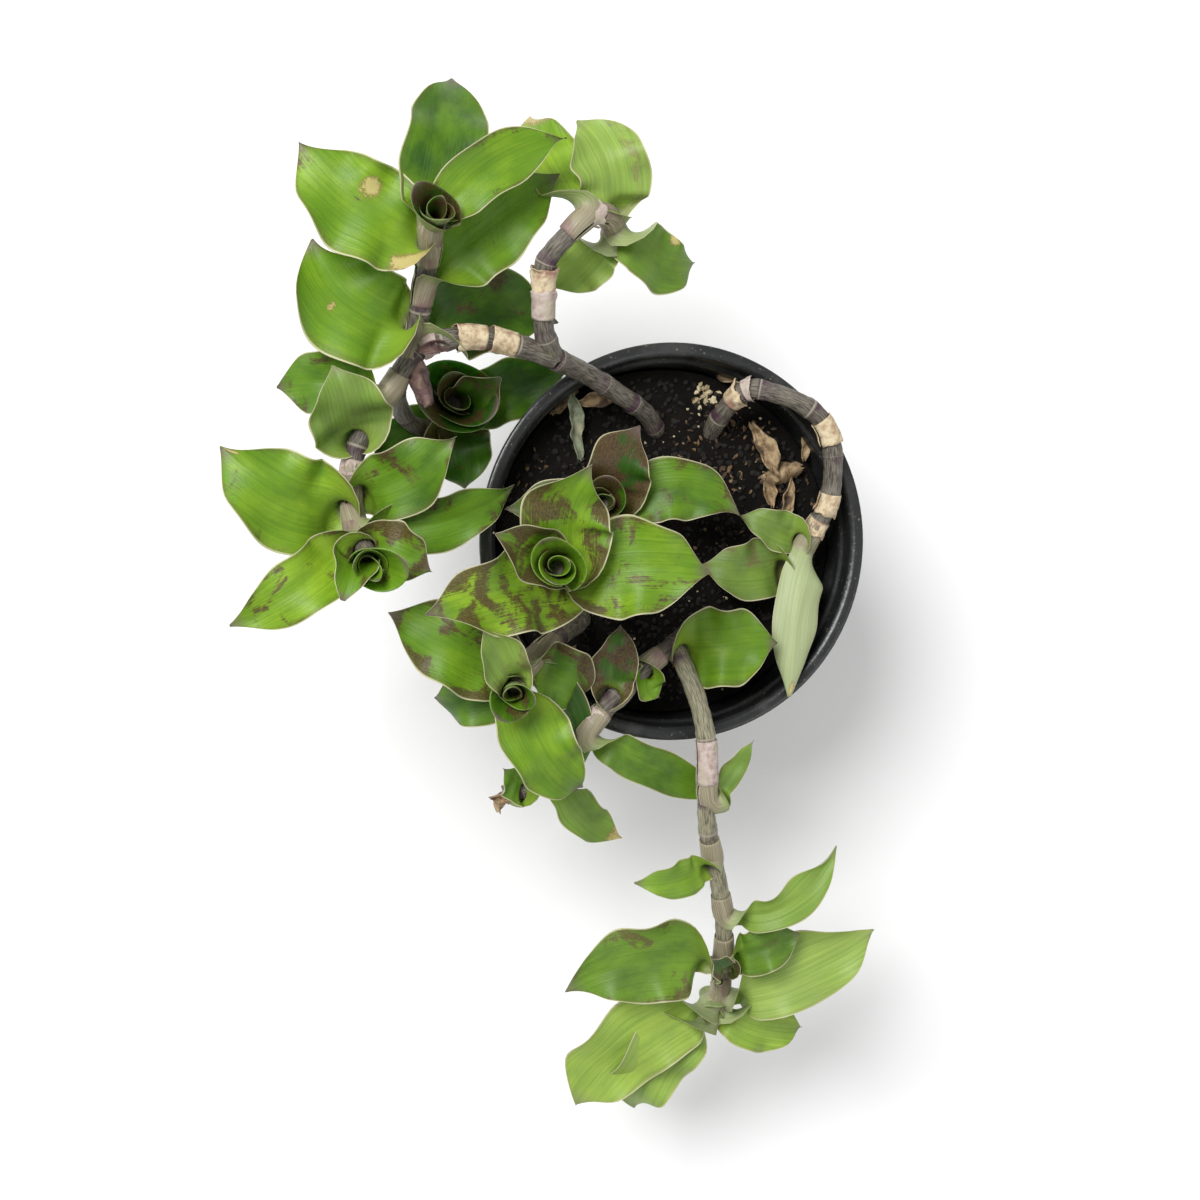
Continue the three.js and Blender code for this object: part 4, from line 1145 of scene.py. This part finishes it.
cream_paper = papery("cream_sheath", (0.62, 0.52, 0.35, 1), (0.36, 0.25, 0.14, 1), (0.3, 0.17, 0.12, 1))
pink_paper = papery("pinkish_sheath", (0.5, 0.42, 0.37, 1), (0.33, 0.24, 0.22, 1), (0.42, 0.37, 0.28, 1))

# name, branch, from station, to station, flare in mm, raggedness in mm, paper
cuffs = [
    ("outer_cuff_1", "outer", 1.1, 1.75, 0.3, 1.0, cream_paper),
    ("outer_cuff_2", "outer", 1.9, 2.7, 0.35, 1.8, cream_paper),
    ("outer_cuff_3", "outer", 3.3, 3.95, 0.5, 2.6, pink_paper),
    ("upper_cuff_1", "upper", 1.5, 2.3, 0.4, 2.2, pink_paper),
    ("upper_cuff_2", "upper", 2.2, 2.9, 0.9, 3.6, cream_paper),
    ("upper_cuff_3", "upper", 5.1, 5.7, 0.5, 2.6, pink_paper),
    ("right_cuff_1", "right", 1.9, 2.5, 0.7, 3.4, cream_paper),
    ("right_cuff_2", "right", 2.7, 3.1, 0.4, 2.0, pink_paper),
    ("right_cuff_3", "right", 6.0, 6.9, 0.25, 1.2, cream_paper),
    ("right_cuff_4", "right", 8.5, 9.3, 0.35, 2.0, cream_paper),
    ("right_cuff_5", "right", 9.6, 10.2, 0.5, 2.6, cream_paper),
    ("right_cuff_6", "right", 10.4, 11.3, 0.4, 1.6, pink_paper),
    ("trailing_cuff", "trailing", 3.0, 4.1, 0.2, 0.5, pink_paper),
    ("front_cuff", "front", 4.6, 5.0, 0.2, 0.4, pink_paper),
    ("hook_cuff", "outer", 8.5, 9.0, 0.3, 1.0, pink_paper),
]
cuff_rings = 12
for count, (name, branch, low, high, flare, rag, paper) in enumerate(cuffs):
    line = lines[branch]
    runs = np.linspace(line.length(low), line.length(high), cuff_rings)
    share = np.linspace(0, 1, cuff_rings)
    thick = np.array([line.radius(x) for x in runs]) + (0.35 + flare * share ** 2) * MM
    places = np.array([line.place(x) for x in runs])
    upper_end = 0.12 + 0.88 * share ** 2.5
    remains = grown(wire(name, [(places, {"thick": thick, "upper_end": upper_end})]), cuff, cuff_keys, {
        "Raggedness": 1.8 * rag * MM, "Seed": count, "Finish": paper})
    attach(remains, "root")

# ---- Dead leaves and small leaves ----
# Curled tan leaves lie on the soil, a shrivelled purple one hangs from a joint, and a few dwarf
# leaves grow low on the stems. Each dead leaf is one thin crumpled sheet.

noise.seed_set(5)  # without it the wrinkles differ from run to run


def crumpled(name, centre, heading, length, width, curl, seed, finish, slot):
    """A dry leaf: a pointed sheet, curled across and along, and wrinkled."""
    rows, columns = 22, 13
    t, w = np.meshgrid(np.linspace(0, 1, rows), np.linspace(-1, 1, columns), indexing="ij")
    half = width / 2 * np.sin(np.pi * np.clip(0.06 + 0.9 * t, 0, 1)) ** 0.7
    x = (t - 0.5) * length
    y = w * half * (1 - 0.25 * abs(curl))
    z = curl * half * w ** 2 * 1.2 + 0.12 * length * curl * np.sin(3 * t + seed)
    x = x + 0.05 * length * np.sin(5 * w + seed)
    turn = math.radians(heading)
    ahead, aside = math.cos(turn), math.sin(turn)
    sheet = np.stack([x * ahead - y * aside, x * aside + y * ahead, z], -1)
    for row in sheet:
        for corner in row:
            corner += np.array(noise.noise_vector(Vector(corner) * 0.28 + Vector((seed, 0, 0)))) * 1.3
    sheet = (sheet + np.array(centre)) * MM
    quads = quads_between(np.arange(rows * columns).reshape(rows, columns))
    data = bpy.data.meshes.new(name)
    data.from_pydata(sheet.reshape(-1, 3).tolist(), [], quads.tolist())
    data.materials.append(finish)
    made = bpy.data.objects.new(name, data)
    bpy.context.collection.objects.link(made)
    solid = made.modifiers.new("thickness", "SOLIDIFY")
    solid.thickness = 0.3 * MM
    settled(made)
    made.data.shade_smooth()
    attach(made, "root")


tan_paper = papery("tan_litter", (0.4, 0.29, 0.16, 1), (0.14, 0.085, 0.04, 1), (0.08, 0.05, 0.03, 1))
purple_dead = papery("purple_dead_leaf", (0.14, 0.08, 0.07, 1), (0.05, 0.025, 0.025, 1), (0.2, 0.13, 0.1, 1))
green_dead = papery("grey_green_dead_leaf", (0.27, 0.3, 0.2, 1), (0.13, 0.15, 0.09, 1), (0.35, 0.33, 0.22, 1))
litter = [
    ("litter_1", (31, 28, 93.0), 118, 17, 7, 0.7, 1, tan_paper, "litter"),
    ("litter_2", (37, 21, 93.2), 20, 14, 7, -0.6, 2, tan_paper, "litter"),
    ("litter_3", (39, 13, 93.0), 75, 13, 5, 0.8, 3, tan_paper, "litter"),
    ("litter_4", (33, 16, 92.6), 100, 11, 5, 0.6, 4, tan_paper, "litter"),
    ("litter_5", (-29, 36, 93.4), 100, 21, 5, 0.8, 5, green_dead, "litter"),
    ("litter_6", (-22, 43, 93.6), 15, 13, 6, 0.7, 6, tan_paper, "litter"),
    ("litter_7", (-32, 42, 93.4), 50, 10, 5, -0.7, 7, tan_paper, "litter"),
    ("litter_8", (22, 50, 93.0), 170, 12, 4, 0.6, 8, tan_paper, "litter"),
    ("litter_9", (44, 30, 93.0), 95, 9, 4, 0.6, 9, tan_paper, "litter"),
    ("hanging_leaf", (-80, 45.5, 125.5), 105, 15, 7, -0.7, 10, purple_dead, "litter"),
    ("hanging_leaf_2", (-77, 54.5, 129.5), 190, 8, 5, 0.8, 11, purple_dead, "litter"),
    ("broken_tip_1", (-53, -76, 98), 20, 6, 5, 0.9, 12, tan_paper, "litter"),
    ("broken_tip_2", (-52, -78, 96), 70, 6, 4, -0.9, 13, tan_paper, "litter"),
]
for piece in litter:
    crumpled(*piece)

# name, branch, station, tip, width, arch, bend, roll, cup and look, for the small leaves
small_leaves = [
    ("dwarf_leaf_1", "front", 2.9, (-7, -46, 110), 9, 2, 2, 0, 30, dict(lime=0.5, blotch=0.1, ruffle=0.5)),
    ("dwarf_leaf_2", "trailing", 9.2, (12, -128, 104), 10, 2, 0, 0, 30,
        dict(lime=0.1, blotch=0.8, ruffle=0.5)),
]
for count, (name, branch, station, tip, width, arch, bend, roll, cup, details) in enumerate(small_leaves):
    line = lines[branch]
    surface = leaf_surface(
        line, line.length(station), tip, width, arch, bend, roll, cup, seed=80 + count, **details)
    small = leaf_object(name, [surface], leaf_finish)
    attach(small, "root")
